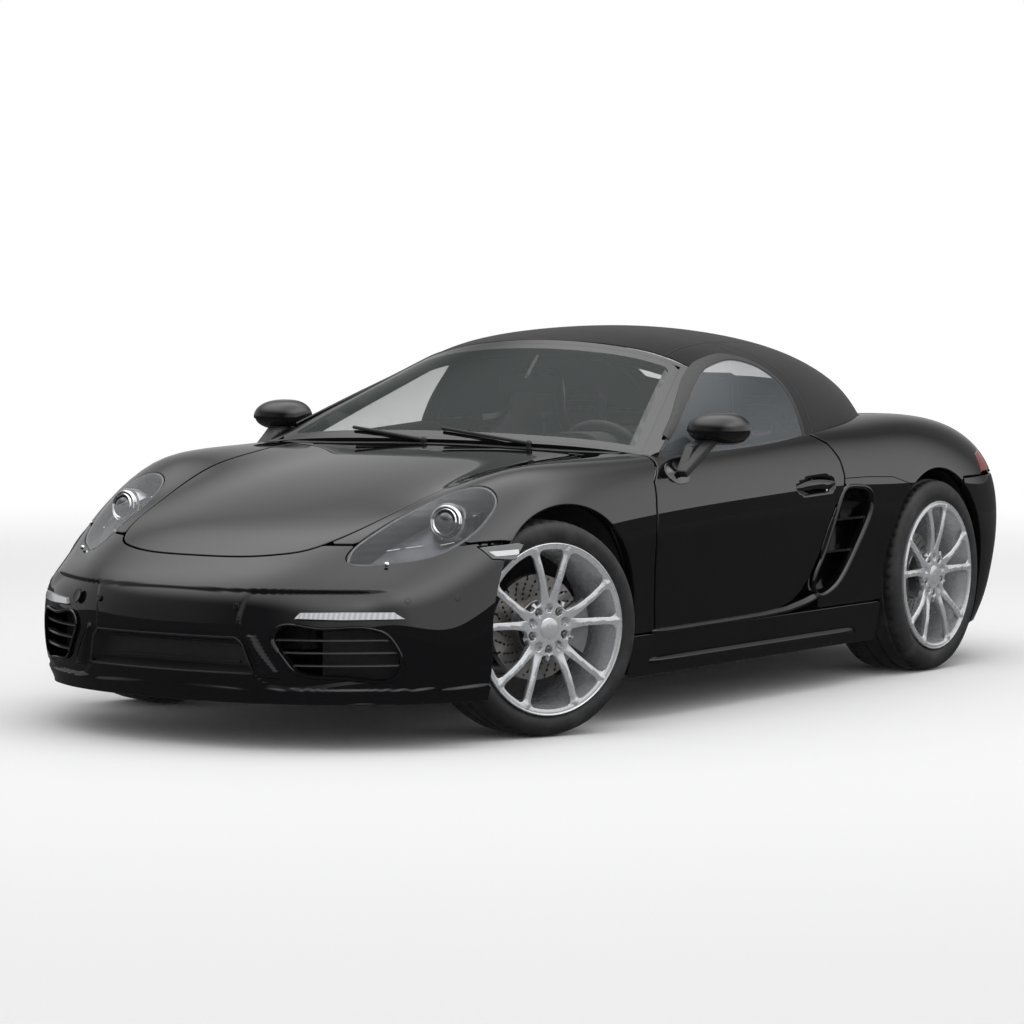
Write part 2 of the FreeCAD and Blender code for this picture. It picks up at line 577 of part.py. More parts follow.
marker_flange = less(along_y(grown(MARKER, 7), 600, 1000).common(core(SHEET)).cut(core(SHEET + 6)), lamp_hole, HOUSE_FRONT)
parts["side_markers"] = pair(kept(merged(marker, marker_flange).cut(HOUSE_FRONT)))

# ---- front intake slats and radiators ----
SLAT_HEIGHTS = (261, 300, 338)
SLAT_THICKNESS = 6
ring = along_x(grown(INTAKE_FRONT, 9), 1700, 2400, True).common(core(BUMPER_THICKNESS))
ring = less(ring, core(BUMPER_THICKNESS + 26), intake_hole)
slats = []
for height in SLAT_HEIGHTS:
    slab = box(1700, 2400, 350, 720, height - SLAT_THICKNESS / 2, height + SLAT_THICKNESS / 2)
    slab = slab.common(along_x(grown(INTAKE_FRONT, 3), 1700, 2400, True))
    slats.append(slab.common(core(10)).cut(core(BUMPER_THICKNESS + 26)))
grille = merged(ring, *slats)
parts["front_grilles"] = pair(kept(less(grille, plate_tray)))
radiator = Part.makeBox(45, 230, above(375) - above(146))
radiator.rotate(VEC(0, 0, 0), ALONG_Z, 32)
radiator.translate(at(1925, 425, 146))
parts["radiators"] = pair(radiator.common(core(50)))

# ---- cowl and bulkhead ahead of the cabin ----
COWL = [(560, 1000), (667, 1000), (667, 800), (655, 745), (715, 706), (762, 706), (762, 152), (745, 152), (745, 690),
        (700, 690), (610, 735), (560, 800)]
cowl = along_y(COWL, -672, 672).common(HULL)
lid_room = Part.makeCylinder(LID_SWING, 2 * FAR, at(LID_HINGE[0], 0, LID_HINGE[1]) - VEC(0, FAR, 0), ALONG_Y)
cowl = less(cowl, lid_hole.common(box(600, 800, -800, 800, 790, 1500)), lid_room, frame, windscreen,
            layer(SCREEN, -200, 0, SCREEN_SIDE))
HINGE_HEAD = 7
hinge_posts = []
for ear_y in (-EAR_Y, EAR_Y):
    for y0, y1 in ((ear_y - 20, ear_y - 12), (ear_y + 12, ear_y + 20)):
        hinge_posts.append(box(LID_HINGE[0] - HINGE_HEAD, LID_HINGE[0] + HINGE_HEAD, y0, y1, 706, LID_HINGE[1]))
        hinge_posts.append(rod(at(LID_HINGE[0], y0, LID_HINGE[1]), at(LID_HINGE[0], y1, LID_HINGE[1]), HINGE_HEAD))
kick = box(588, 762, 659, 673, 152, 730)
door_pins = []
for height in DOOR_HINGE_HEIGHTS:
    door_pins.append(box(589, 606, 668, DOOR_HINGE[1], height - 9, height + 9))
    door_pins.append(rod(at(600, DOOR_HINGE[1], height - 42), at(600, DOOR_HINGE[1], height + 42), DOOR_PIN_RADIUS))
side_post = merged(kick, *door_pins)
cowl = merged(cowl, side_post, mirrored(side_post), *(hinge_posts + front_pins))
parts["cowl"] = kept(cowl)

# ---- doors ----
door = HULL.common(door_block)
door = less(door, box(-600, 800, 700, 768, 0, 560), box(555, 800, 700, 812, 770, 1000), glass_space.cut(door_glass),
            door_glass)
for shift in ((0, 0, 0), (0, 6, 0), (-6, 0, 0), (0, 0, -6)):
    near_frame = frame.copy()
    near_frame.translate(VEC(*shift))
    door = less(door, near_frame)
pocket = along_y(HANDLE, 600, 1000, True)
grip = along_y([(-176, 708), (-260, 727), (-340, 733), (-400, 730), (-476, 713), (-380, 702), (-290, 700)], 600,
               1000, True)
door = less(door, HULL.common(pocket).cut(core(24)))
door = merged(door, HULL.common(grip).cut(core(13)), box(-330, 220, 712, 745, 566, 604))
hinge_side = box(580, 800, 600, 900, 0, 1000)
for height in DOOR_HINGE_HEIGHTS:
    room = Part.makeCylinder(172, 2 * HINGE_ROOM, VEC(HINGE_AT.x, HINGE_AT.y, above(height) - HINGE_ROOM))
    door = less(door, room.common(hinge_side).common(core(12)),
                rod(at(600, DOOR_HINGE[1], height - 45), at(600, DOOR_HINGE[1], height + 45),
                    DOOR_PIN_RADIUS + RUNNING_GAP))
door = kept(door)
parts["door_left"] = door
parts["door_right"] = mirrored(door)
parts["door_glass_left"] = door_glass
parts["door_glass_right"] = mirrored(door_glass)
MIRROR_AT = at(345, 886, 917)
MIRROR_SEMI = (62.0, 111.0, 48.0)
squash = FreeCAD.Matrix()
squash.scale(VEC(*MIRROR_SEMI))
housing = Part.makeSphere(1.0).transformGeometry(squash)
housing.translate(MIRROR_AT)
housing = housing.cut(Part.makeBox(100, 300, 200, MIRROR_AT - VEC(136, 150, 100)))
stalk_foot = at(562, 866, 778)
stalk = rod(stalk_foot, MIRROR_AT - VEC(-20, 0, 26), 15)
mirror = kept(less(merged(housing, stalk), door, HULL))
parts["mirror_left"] = mirror
parts["mirror_right"] = mirrored(mirror)

# ---- sills ----
sill = HULL.common(box(-835, 845, 736, 1000, 0, SILL_TOP))
blade = along_z(SILL_BLADE, 180, 194)
sill = kept(less(merged(sill, blade), HOUSE_FRONT, HOUSE_REAR))
parts["sill_left"] = sill
parts["sill_right"] = mirrored(sill)

# ---- rear quarters ----
quarter = panel(box(-2400, -380, 0, 1000, 284, 1500), QUARTER_THICKNESS)
tail_bumper_hole = box(-2500, -1440 + PANEL_GAP, -1000, 1000, 0, BUMPER_TOP_REAR + PANEL_GAP)
intake_side = along_y(SIDE_INTAKE, 600, 1000, True)
quarter = less(quarter, door_hole, cabin_top, deck_hole, rear_lid_hole, tail_bumper_hole, tail_hole, HOUSE_REAR,
               intake_side)
quarter = kept(less(quarter, edge_room(REAR_LID_HINGE, REAR_LID_REACH)))
parts["quarter_left"] = quarter
parts["quarter_right"] = mirrored(quarter)
duct_ring = along_y(grown(SIDE_INTAKE, 8), 700, 1000, True).common(core(QUARTER_THICKNESS))
duct_back = duct_ring.cut(core(90))
duct = duct_back.cut(intake_side.common(HULL.cut(core(80))))
blades = []
for height in (470, 580):
    blade = box(-730, -340, 700, 1000, height, height + 8).common(intake_side)
    blades.append(blade.common(core(14)).cut(core(84)))
duct = less(merged(duct, *blades), door_hole, HOUSE_REAR, sill)
parts["side_intakes"] = pair(kept(duct))

# ---- deck, rear lid, tail ----
rear_swing = Part.makeCylinder(REAR_LID_SWING, 2 * FAR, at(REAR_LID_HINGE[0], 0, REAR_LID_HINGE[1]) - VEC(0, FAR, 0),
                               ALONG_Y)
parts["rear_deck"] = kept(less(panel(deck_region, LID_THICKNESS), roof, rear_swing))
rear_lid, rear_pins = lid_ears(REAR_LID_HINGE, panel(rear_lid_region, LID_THICKNESS), EAR_Y, 35, LID_THICKNESS - 1)
parts["rear_lid"] = kept(rear_lid)
tail = panel(tail_region, 45)
tail_flange = along_x(grown(TAIL_LAMP, 9), -1640, -2400).common(core(QUARTER_THICKNESS)).cut(core(45))
parts["tail_lamps"] = pair(kept(less(merged(tail, less(tail_flange, tail_bumper_hole)), rear_lid_hole, HOUSE_REAR)))
tail_bumper = panel(tail_bumper_region, BUMPER_THICKNESS)
tail_bumper = less(tail_bumper, HOUSE_REAR, mirrored(HOUSE_REAR))
PIPE_Y = 50
PIPE_Z = 262
pipe_hole = along_x([(-112, 212), (112, 212), (112, 312), (-112, 312)], -2400, -2000)
tail_plate = [(-262, 560), (262, 560), (262, 440), (-262, 440)]
tail_tray = along_x(grown(tail_plate, 6), -2400, -2140).common(HULL)
tail_bumper = less(merged(tail_bumper, tail_tray), along_x(tail_plate, -2400, -2146), pipe_hole)
parts["rear_bumper"] = kept(tail_bumper)

# ---- floor and cabin walls ----
floor_pan = box(-655, 830, -735, 735, 140, 152).cut(HOUSES)
tunnel = box(-640, 745, -120, 120, 152, 330).cut(box(-640, 745, -112, 112, 152, 322))
cross = box(60, 110, -734, 734, 152, 215).cut(box(-700, 800, -119, 119, 152, 216))
parts["floor_pan"] = merged(floor_pan, tunnel, cross)
back_wall = box(-655, -640, -730, 730, 152, 860)
hoop_posts = []
for y in (190, 545):
    hoop_posts.append(rod(at(-648, y, 850), at(-648, y, 985), 19))
hoop_posts.append(rod(at(-648, 190, 985), at(-648, 545, 985), 19))
shelf = box(-1290, -655, -520, 520, 838, 850).common(core(30))
wall = merged(back_wall, shelf, *(hoop_posts + [mirrored(p) for p in hoop_posts]))
wall = less(wall, HOUSE_REAR, mirrored(HOUSE_REAR))
parts["cabin_rear_wall"] = kept(wall)

# ---- front and rear structures ----
tray_front = less(HULL.common(box(830, 2300, -900, 900, 140, 146)), HOUSES, sill, mirrored(sill))
RAIL_INNER = 338
bin_outer = box(1010, 1860, -RAIL_INNER, RAIL_INNER, 300, 900).common(core(45))
bin_inner = box(1016, 1854, 6 - RAIL_INNER, RAIL_INNER - 6, 306, 1200)
rail = box(762, 1960, RAIL_INNER, 418, 300, 420).common(core(40))
inner_wall = box(862, 1640, 418, TUB_SIDE, 300, 780).common(core(45))
tower = less(box(1160, 1345, 418, 640, 700, 790).common(core(LID_THICKNESS + 6)), steer_space(2))
beam = box(1960, 1995, -400, 400, 300, 400)
liner = less(arch(ARCH_CENTRE, ARCH_FRONT + 5, TYRE_RADIUS_FRONT, KINGPIN_Y - 50).fuse(steer_space(5)),
             HOUSE_FRONT, box(500, 2000, 0, 1000, -100, 148)).common(core(SHEET))
liner = less(liner, sill, box(500, 762, 0, 1000, 0, 1000), nose, bowl,
             along_y(grown(MARKER, 7.4), 600, 1000).cut(core(SHEET + 6.4)))
front = merged(tray_front, bin_outer.cut(bin_inner), beam, rail, mirrored(rail), inner_wall, mirrored(inner_wall),
               tower, mirrored(tower), kept(liner), mirrored(kept(liner)))
parts["front_tub"] = kept(less(front, nose, lamp_region.common(core(4)).cut(core(82)),
                               mirrored(lamp_region.common(core(4)).cut(core(82)))))
tray_rear = less(HULL.common(box(-2300, -655, -900, 900, 140, 146)), HOUSES, sill, mirrored(sill))
rear_bin = box(-2040, -1570, -430, 430, 420, 900).common(core(60)).cut(box(-1700, -1500, -500, 500, 790, 1000))
rear_bin_inner = box(-2034, -1576, -424, 424, 426, 1200)
rear_rail = box(-2050, -656, 425, 520, 330, 422).common(core(40))
rear_beam = box(-2095, -2050, -450, 450, 330, 420)
rear_liner = less(arch(REAR_AXLE, ARCH_REAR + 5, TYRE_RADIUS_REAR, HOUSE_INNER), HOUSE_REAR,
                  box(-2000, 0, 0, 1000, -100, 148)).common(core(QUARTER_THICKNESS))
house_wall = box(-1620, -830, 520, HOUSE_INNER, 300, 760).common(core(40))
rear_liner = less(rear_liner, sill, duct, tail_bumper)
rear = merged(tray_rear, rear_bin.cut(rear_bin_inner), rear_rail, mirrored(rear_rail), rear_beam, kept(rear_liner),
              mirrored(kept(rear_liner)), house_wall, mirrored(house_wall))
rear_posts = []
for y in (-EAR_Y, EAR_Y):
    for side in (-20, 12):
        rear_posts.append(box(REAR_LID_HINGE[0] - 10, REAR_LID_HINGE[0] + 10, y + side, y + side + 8, 421,
                              REAR_LID_HINGE[1] + 8))
rear = merged(rear, *(rear_posts + rear_pins))
parts["rear_tub"] = kept(less(rear, back_wall, tail_bumper))

# ---- engine and exhaust ----
engine = merged(box(-1130, -690, -290, 290, 190, 620), box(-1520, -1130, -170, 170, 200, 470))
parts["engine"] = engine
silencer = box(-2040, -1640, -400, 400, 215, 325)
strap = box(-1860, -1820, 390, 480, 318, 330)
pipes = []
for y in (-PIPE_Y, PIPE_Y):
    p = at(-2030, y, PIPE_Z)
    tube = Part.makeCylinder(TAIL_PIPE_RADIUS + TAIL_PIPE_WALL, p.x - TAIL - 20, p, VEC(-1, 0, 0))
    pipes.append(tube)
exhaust = merged(silencer, strap, mirrored(strap), *pipes)
for y in (-PIPE_Y, PIPE_Y):
    exhaust = exhaust.cut(Part.makeCylinder(TAIL_PIPE_RADIUS, 400, at(-2045, y, PIPE_Z), VEC(-1, 0, 0)))
parts["exhaust"] = exhaust

# ---- cabin fittings ----
DASH = [(744, 560), (744, 688), (640, 790), (560, 826), (470, 852), (390, 850), (345, 822), (336, 770), (372, 705),
        (420, 640), (470, 560)]
dash = along_y(DASH, -672, 672)
hood = along_x([(225, 820), (250, 880), (370, 903), (490, 880), (515, 820)], 345, 470, True)
column_axis = VEC(-math.cos(math.radians(24)), 0, math.sin(math.radians(24)))
WHEEL_Y = 370
wheel_at = at(205, WHEEL_Y, 765)
column = rod(wheel_at - column_axis * 200, wheel_at - column_axis * 14, 26)
column = column.fuse(rod(wheel_at - column_axis * 30, wheel_at + column_axis * 12, 10 - RUNNING_GAP))
dash = less(merged(dash, hood, column), windscreen, frame, cowl)
parts["dashboard"] = kept(dash)
console = along_y([(470, 330), (470, 560), (330, 540), (150, 440), (-300, 420), (-500, 440), (-639, 440), (-639, 330)],
                  -118, 118)
parts["console"] = less(console, dash)
steer_ring = Part.makeTorus(176, 15, wheel_at, column_axis)
hub = rod(wheel_at - column_axis * 8, wheel_at + column_axis * 22, 52)
hub_bore = rod(wheel_at - column_axis * 20, wheel_at + column_axis * 13, 10)
down_dir = column_axis.cross(ALONG_Y)
if down_dir.z > 0:
    down_dir = down_dir * -1
spokes = [rod(wheel_at, wheel_at + d * 172, 10) for d in (ALONG_Y, ALONG_Y * -1, down_dir)]
STEERING_RATIO = 15.0
steering = merged(steer_ring, hub, *spokes).cut(hub_bore)
steering.rotate(wheel_at, column_axis, STEERING_RATIO * STEER_AT_REST)
parts["steering_wheel"] = steering

CUSHION = [(150, 330), (165, 372), (120, 402), (-50, 384), (-250, 372), (-330, 350), (-330, 260), (100, 250)]
BACK = [(-230, 300), (-215, 370), (-262, 520), (-330, 700), (-398, 860), (-440, 985), (-448, 1060), (-480, 1090),
        (-525, 1070), (-530, 980), (-500, 820), (-450, 640), (-400, 450), (-380, 300)]
SEAT_FRONT = [(120, 240), (118, 420), (122, 600), (140, 740), (195, 850), (258, 935), (272, 1030), (300, 1085),
              (370, 1098), (440, 1085), (468, 1030), (482, 935), (545, 850), (600, 740), (618, 600), (622, 420),
              (620, 240)]
seat_back = along_y(BACK, 100, 640, True).common(along_x(SEAT_FRONT, -700, 300, True))
cushion = along_y(CUSHION, 128, 612, True)
bolsters = []
for y0, y1 in ((128, 200), (540, 612)):
    side_cushion = [(140, 340), (130, 430), (-60, 432), (-260, 425), (-300, 350), (-250, 300), (60, 290)]
    side_back = [(-200, 400), (-215, 520), (-290, 720), (-375, 800), (-440, 760), (-400, 560), (-330, 400)]
    bolsters.append(along_y(side_cushion, y0, y1, True))
    bolsters.append(along_y(side_back, y0, y1, True).common(along_x(SEAT_FRONT, -700, 300, True)))
seat_base = box(-310, 100, 170, 570, 152, 300)
seat = less(merged(seat_back, cushion, seat_base, *bolsters), parts["floor_pan"], console)
parts["seat_left"] = kept(seat)
parts["seat_right"] = mirrored(kept(seat))

# ---- wheels, in their own frame: axle along +Y outward, middle of the tyre at the origin ----


def turned(points):
    """Solid of revolution about the axle from (along axle, radius) corners."""
    corners = [VEC(r, y, 0) for y, r in points]
    return Part.Face(Part.makePolygon(corners + [corners[0]])).revolve(VEC(0, 0, 0), ALONG_Y, 360)


def tyre(radius, width):
    h = width / 2
    half = [(h - 12, 254), (h - 12, 272), (h - 2, 288), (h, 304), (h - 5, radius - 22), (h - 16, radius - 6),
            (h - 34, radius)]
    outer = half + [(-y, r) for y, r in reversed(half)]
    inner = [(h - 22, 254), (h - 24, 274), (h - 13, 294), (h - 20, radius - 26), (h - 40, radius - 14)]
    inner = inner + [(-y, r) for y, r in reversed(inner)]
    body = turned(outer).cut(turned([(-h + 22, 200), (h - 22, 200)] + inner))
    for y in (-0.24, 0.0, 0.24):
        g = y * width
        body = body.cut(turned([(g - 4, radius - 7), (g + 4, radius - 7), (g + 4, radius + 5), (g - 4, radius + 5)]))
    return body


def rim(width, face):
    h = width / 2
    inner = h - 12
    shape = [(-h + 1, RIM_RADIUS), (-inner, RIM_RADIUS), (-inner, 254), (-inner + 26, 254), (-inner + 42, 240),
             (inner - 70, 240), (inner - 26, 254), (inner, 254), (inner, RIM_RADIUS), (h - 1, RIM_RADIUS),
             (h - 1, 262), (inner - 8, 246), (inner - 28, 244), (inner - 70, 231), (-inner + 38, 231),
             (-inner + 20, 246), (-h + 1, 258)]
    barrel = turned(shape)
    web = turned([(HUB_FACE_OFFSET, 70), (face - 14, 70), (face - 9, 110), (face - 2, 180), (face - 2, 246),
                  (face - 26, 248), (face - 40, 200), (HUB_FACE_OFFSET + 16, 112)])
    arms = []
    for pair_no in range(5):
        for lean in (-1, 1):
            corners = []
            for radius, angle, half_width in ((60, 8.0, 17), (150, 11.0, 13), (250, 13.5, 14)):
                a = math.radians(90 + 72 * pair_no + lean * angle)
                corners.append((radius, a, half_width))
            left = []
            right = []
            for radius, a, half_width in corners:
                mid = VEC(radius * math.cos(a), 0, radius * math.sin(a))
                edge = VEC(-math.sin(a), 0, math.cos(a)) * half_width
                left.append(mid + edge)
                right.append(mid - edge)
            ring_pts = left + right[::-1]
            arms.append(Part.Face(Part.makePolygon(ring_pts + [ring_pts[0]])).extrude(VEC(0, face + 20, 0)))
    spokes_all = arms[0].fuse(arms[1:]).common(web)
    hub_disc = turned([(HUB_FACE_OFFSET, HUB_BORE), (face - 20, HUB_BORE), (face - 20, 0), (face - 11, 0), (face - 13, 66),
                       (face - 13, 84), (HUB_FACE_OFFSET, 84)])
    body = barrel.fuse([spokes_all, hub_disc]).removeSplitter()
    for i in range(10):
        a = math.radians(54 + 36 * i)
        spot = VEC(BOLT_CIRCLE_RADIUS * math.cos(a), 0, BOLT_CIRCLE_RADIUS * math.sin(a))
        depth_from = HUB_FACE_OFFSET + 14 if i % 2 == 0 else face - 24
        body = body.cut(Part.makeCylinder(12.5, 80, spot + VEC(0, depth_from, 0), ALONG_Y))
        if i % 2 == 0:
            body = body.cut(Part.makeCylinder(BOLT_HOLE_RADIUS, 40, spot + VEC(0, HUB_FACE_OFFSET - 10, 0), ALONG_Y))
    return body


DISC_MID = 14.0
BALL_RADIUS = 9.0
BALL_DROP = 118.0
HAT_RADIUS = 88.0


def disc(radius):
    a = DISC_MID - DISC_THICKNESS / 2
    b = DISC_MID + DISC_THICKNESS / 2
    body = turned([(a, HAT_RADIUS - 8), (a, radius), (b, radius), (b, HAT_RADIUS), (HUB_FACE_OFFSET, HAT_RADIUS),
                   (HUB_FACE_OFFSET, HUB_BORE), (HUB_FACE_OFFSET - 8, HUB_BORE), (HUB_FACE_OFFSET - 8, HAT_RADIUS - 8)])
    for i in range(5):
        a = math.radians(54 + 72 * i)
        spot = VEC(BOLT_CIRCLE_RADIUS * math.cos(a), HUB_FACE_OFFSET - 20, BOLT_CIRCLE_RADIUS * math.sin(a))
        body = body.cut(Part.makeCylinder(BOLT_HOLE_RADIUS, 40, spot, ALONG_Y))
    return body


def carrier(kingpin_offset, disc_radius, arm):
    """Upright with hub stub and brake caliper; kingpin_offset is the kingpin's place along the axle."""
    k = kingpin_offset
    post = rod(VEC(0, k, -BALL_DROP), VEC(0, k, 112), 26)
    boss = rod(VEC(0, k - 30, 0), VEC(0, -8, 0), 62)
    stub = rod(VEC(0, -10, 0), VEC(0, HUB_FACE_OFFSET + 22, 0), HUB_BORE - RUNNING_GAP)
    outer = disc_radius + 20
    shoe = turned([(-22, disc_radius - 62), (-22, outer), (50, outer), (50, disc_radius - 62)])
    slot = turned([(DISC_MID - DISC_THICKNESS / 2 - 5, 20), (DISC_MID + DISC_THICKNESS / 2 + 5, 20),
                   (DISC_MID + DISC_THICKNESS / 2 + 5, disc_radius + 6),
                   (DISC_MID - DISC_THICKNESS / 2 - 5, disc_radius + 6)])
    wedge = Part.makePolygon([VEC(-20, -100, 0), VEC(-300, -100, 170), VEC(-300, -100, -170), VEC(-20, -100, 0)])
    sector = Part.Face(wedge).extrude(VEC(0, 300, 0))
    caliper = shoe.cut(slot).common(sector)
    bracket = Part.makeBox(disc_radius - 20, 26, 70, VEC(-disc_radius + 14, -48, -35))
    body = merged(post, boss, stub, caliper, bracket)
    if arm:
        body = merged(body, rod(VEC(0, k, -40), VEC(-120, k - 6, -40), 12))
        body = body.cut(rod(VEC(0, k, -BALL_DROP - 5), VEC(0, k, -BALL_DROP + 30), BALL_RADIUS + RUNNING_GAP))
    return body


def place(shape, front, left, steered):
    x = FRONT_AXLE if front else REAR_AXLE
    y = WHEEL_MID_FRONT if front else WHEEL_MID_REAR
    z = TYRE_RADIUS_FRONT if front else TYRE_RADIUS_REAR
    out = shape.copy()
    out.translate(VEC(x, y, z))
    if not left:
        out = mirrored(out)
    if front and steered:
        pin = VEC(KINGPIN.x, KINGPIN.y if left else -KINGPIN.y, 0)
        out.rotate(pin, ALONG_Z, STEER_AT_REST)
    return out


FACE_FRONT = 112.0
FACE_REAR = 130.0
front_set = {"tyre": tyre(TYRE_RADIUS_FRONT, TYRE_WIDTH_FRONT), "rim": rim(TYRE_WIDTH_FRONT, FACE_FRONT),
             "disc": disc(DISC_RADIUS_FRONT)}
rear_set = {"tyre": tyre(TYRE_RADIUS_REAR, TYRE_WIDTH_REAR), "rim": rim(TYRE_WIDTH_REAR, FACE_REAR),
            "disc": disc(DISC_RADIUS_REAR)}
for kind in ("tyre", "rim", "disc"):
    parts[kind + "_front_left"] = place(front_set[kind], True, True, True)
    parts[kind + "_front_right"] = place(front_set[kind], True, False, True)
    parts[kind + "_rear_left"] = place(rear_set[kind], False, True, False)
    parts[kind + "_rear_right"] = place(rear_set[kind], False, False, False)
steered_carrier = carrier(KINGPIN_Y - WHEEL_MID_FRONT, DISC_RADIUS_FRONT, True)
parts["knuckle_left"] = place(steered_carrier, True, True, True)
parts["knuckle_right"] = place(steered_carrier, True, False, True)

# ---- suspension carried by the body ----
fixed_carrier = place(carrier(KINGPIN_Y - WHEEL_MID_FRONT, DISC_RADIUS_REAR, False), False, True, False)
ARM_RADIUS = 15.0
ball_z = TYRE_RADIUS_FRONT - BALL_DROP
STRUT_Y = 560


def lower_arms(x, tip, root_z):
    """Wishbone of two tubes from the subframe to the foot of the upright."""
    return merged(rod(VEC(x - 140, 360, root_z), tip, ARM_RADIUS), rod(VEC(x + 140, 360, root_z), tip, ARM_RADIUS))


def damper(x, foot_z):
    return rod(VEC(x, across(STRUT_Y), foot_z), VEC(x, across(STRUT_Y), above(740)), 20)


front_tip = VEC(FRONT_AXLE, KINGPIN_Y, ball_z - ARM_RADIUS - 6)
ball_pin = rod(front_tip, VEC(FRONT_AXLE, KINGPIN_Y, ball_z + 28), BALL_RADIUS)
subframe = box(1100, 1400, -370, 370, 146, 232)
rack_z = TYRE_RADIUS_FRONT - 80
rack = rod(VEC(FRONT_AXLE - 125, -400, rack_z), VEC(FRONT_AXLE - 125, 400, rack_z), 26)
front_side = merged(lower_arms(FRONT_AXLE, front_tip, 205), ball_pin, damper(FRONT_AXLE, front_tip.z))
front_links = merged(subframe, rack, front_side, mirrored(front_side))
parts["front_suspension"] = kept(less(front_links, parts["front_tub"]))
rear_tip = VEC(REAR_AXLE, WHEEL_MID_REAR - WHEEL_MID_FRONT + KINGPIN_Y, TYRE_RADIUS_REAR - BALL_DROP + 12)
rear_frame = box(-1370, -1080, -365, 365, 146, 190)
rear_side = merged(fixed_carrier, lower_arms(REAR_AXLE, rear_tip, 180), damper(REAR_AXLE, rear_tip.z - 30))
rear_links = merged(rear_frame, rear_side, mirrored(rear_side))
parts["rear_suspension"] = kept(less(rear_links, parts["rear_tub"]))

# ---- wipers ----
def on_screen(u, v, lift):
    return SCREEN.value(u, v) + SCREEN.normal(u, v) * lift


WIPER_X = 640
wipers = []
for y, v1 in ((330, 0.54), (-90, 0.80)):
    foot = at(WIPER_X, y, 872)
    tip = on_screen(0.09, v1, 9)
    wipers.append(merged(rod(foot, tip, 6), rod(at(WIPER_X, y, 853), foot, 9), Part.makeSphere(11, foot)))
parts["wipers"] = Part.makeCompound([less(w, parts["cowl"], windscreen, frame) for w in wipers])

os.makedirs("parts", exist_ok=True)
for name in sorted(parts):
    parts[name].exportStep("parts/" + name + ".step")
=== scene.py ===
"""Open two-seat car with its fabric top up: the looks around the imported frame, in metres.

Nose to +X, left side to +Y, floor at z = 0, as in the frame.
"""
import json
import math

import bpy
import numpy as np
from mathutils import Matrix, Vector

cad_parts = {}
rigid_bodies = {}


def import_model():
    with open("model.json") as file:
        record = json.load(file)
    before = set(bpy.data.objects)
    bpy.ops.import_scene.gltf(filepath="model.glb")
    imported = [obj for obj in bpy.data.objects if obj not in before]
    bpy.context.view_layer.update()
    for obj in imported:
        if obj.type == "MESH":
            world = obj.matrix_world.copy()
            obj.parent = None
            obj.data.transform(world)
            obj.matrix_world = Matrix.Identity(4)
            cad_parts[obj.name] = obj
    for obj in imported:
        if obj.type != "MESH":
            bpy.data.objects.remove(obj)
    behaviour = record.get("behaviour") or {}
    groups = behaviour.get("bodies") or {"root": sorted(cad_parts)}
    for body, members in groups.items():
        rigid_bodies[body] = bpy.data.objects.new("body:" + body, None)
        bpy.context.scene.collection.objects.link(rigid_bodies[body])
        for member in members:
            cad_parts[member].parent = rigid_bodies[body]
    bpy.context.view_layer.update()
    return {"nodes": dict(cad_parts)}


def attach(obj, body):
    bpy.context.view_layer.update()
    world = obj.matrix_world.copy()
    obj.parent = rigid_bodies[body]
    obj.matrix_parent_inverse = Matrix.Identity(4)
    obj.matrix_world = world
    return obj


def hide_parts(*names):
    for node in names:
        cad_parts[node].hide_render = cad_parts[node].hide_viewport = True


# The empty studio: Blender's own cube, lamp and camera go out before the frame comes in.
for spare in list(bpy.data.objects):
    bpy.data.objects.remove(spare)
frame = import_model()
nodes = frame["nodes"]

# The photographer's place: standing off the left front corner, a long lens held a little
# under bonnet height, turned a third of a degree out of level.
CAMERA_AT = Vector((11.5657, 7.3690, 1.4612))
CAMERA_HEADING = math.radians(-146.969)
CAMERA_TILT = math.radians(-3.594)
CAMERA_ROLL = math.radians(0.343)
FRAME_PIXELS = 1024.0
FOCAL_PIXELS = 3942.0
SENSOR = 36.0

camera_data = bpy.data.cameras.new("camera")
camera_data.sensor_width = SENSOR
camera_data.lens = SENSOR * FOCAL_PIXELS / FRAME_PIXELS
camera_data.clip_end = 200.0
camera = bpy.data.objects.new("camera", camera_data)
bpy.context.scene.collection.objects.link(camera)
forward = Vector((math.cos(CAMERA_TILT) * math.cos(CAMERA_HEADING),
                  math.cos(CAMERA_TILT) * math.sin(CAMERA_HEADING), math.sin(CAMERA_TILT)))
level_right = forward.cross(Vector((0, 0, 1))).normalized()
level_up = level_right.cross(forward)
turned_right = level_right * math.cos(CAMERA_ROLL) + level_up * math.sin(CAMERA_ROLL)
turned_up = level_up * math.cos(CAMERA_ROLL) - level_right * math.sin(CAMERA_ROLL)
camera.matrix_world = Matrix.Translation(CAMERA_AT) @ Matrix(
    (turned_right, turned_up, -forward)).transposed().to_4x4()
bpy.context.scene.camera = camera
bpy.context.scene.view_settings.view_transform = "Standard"


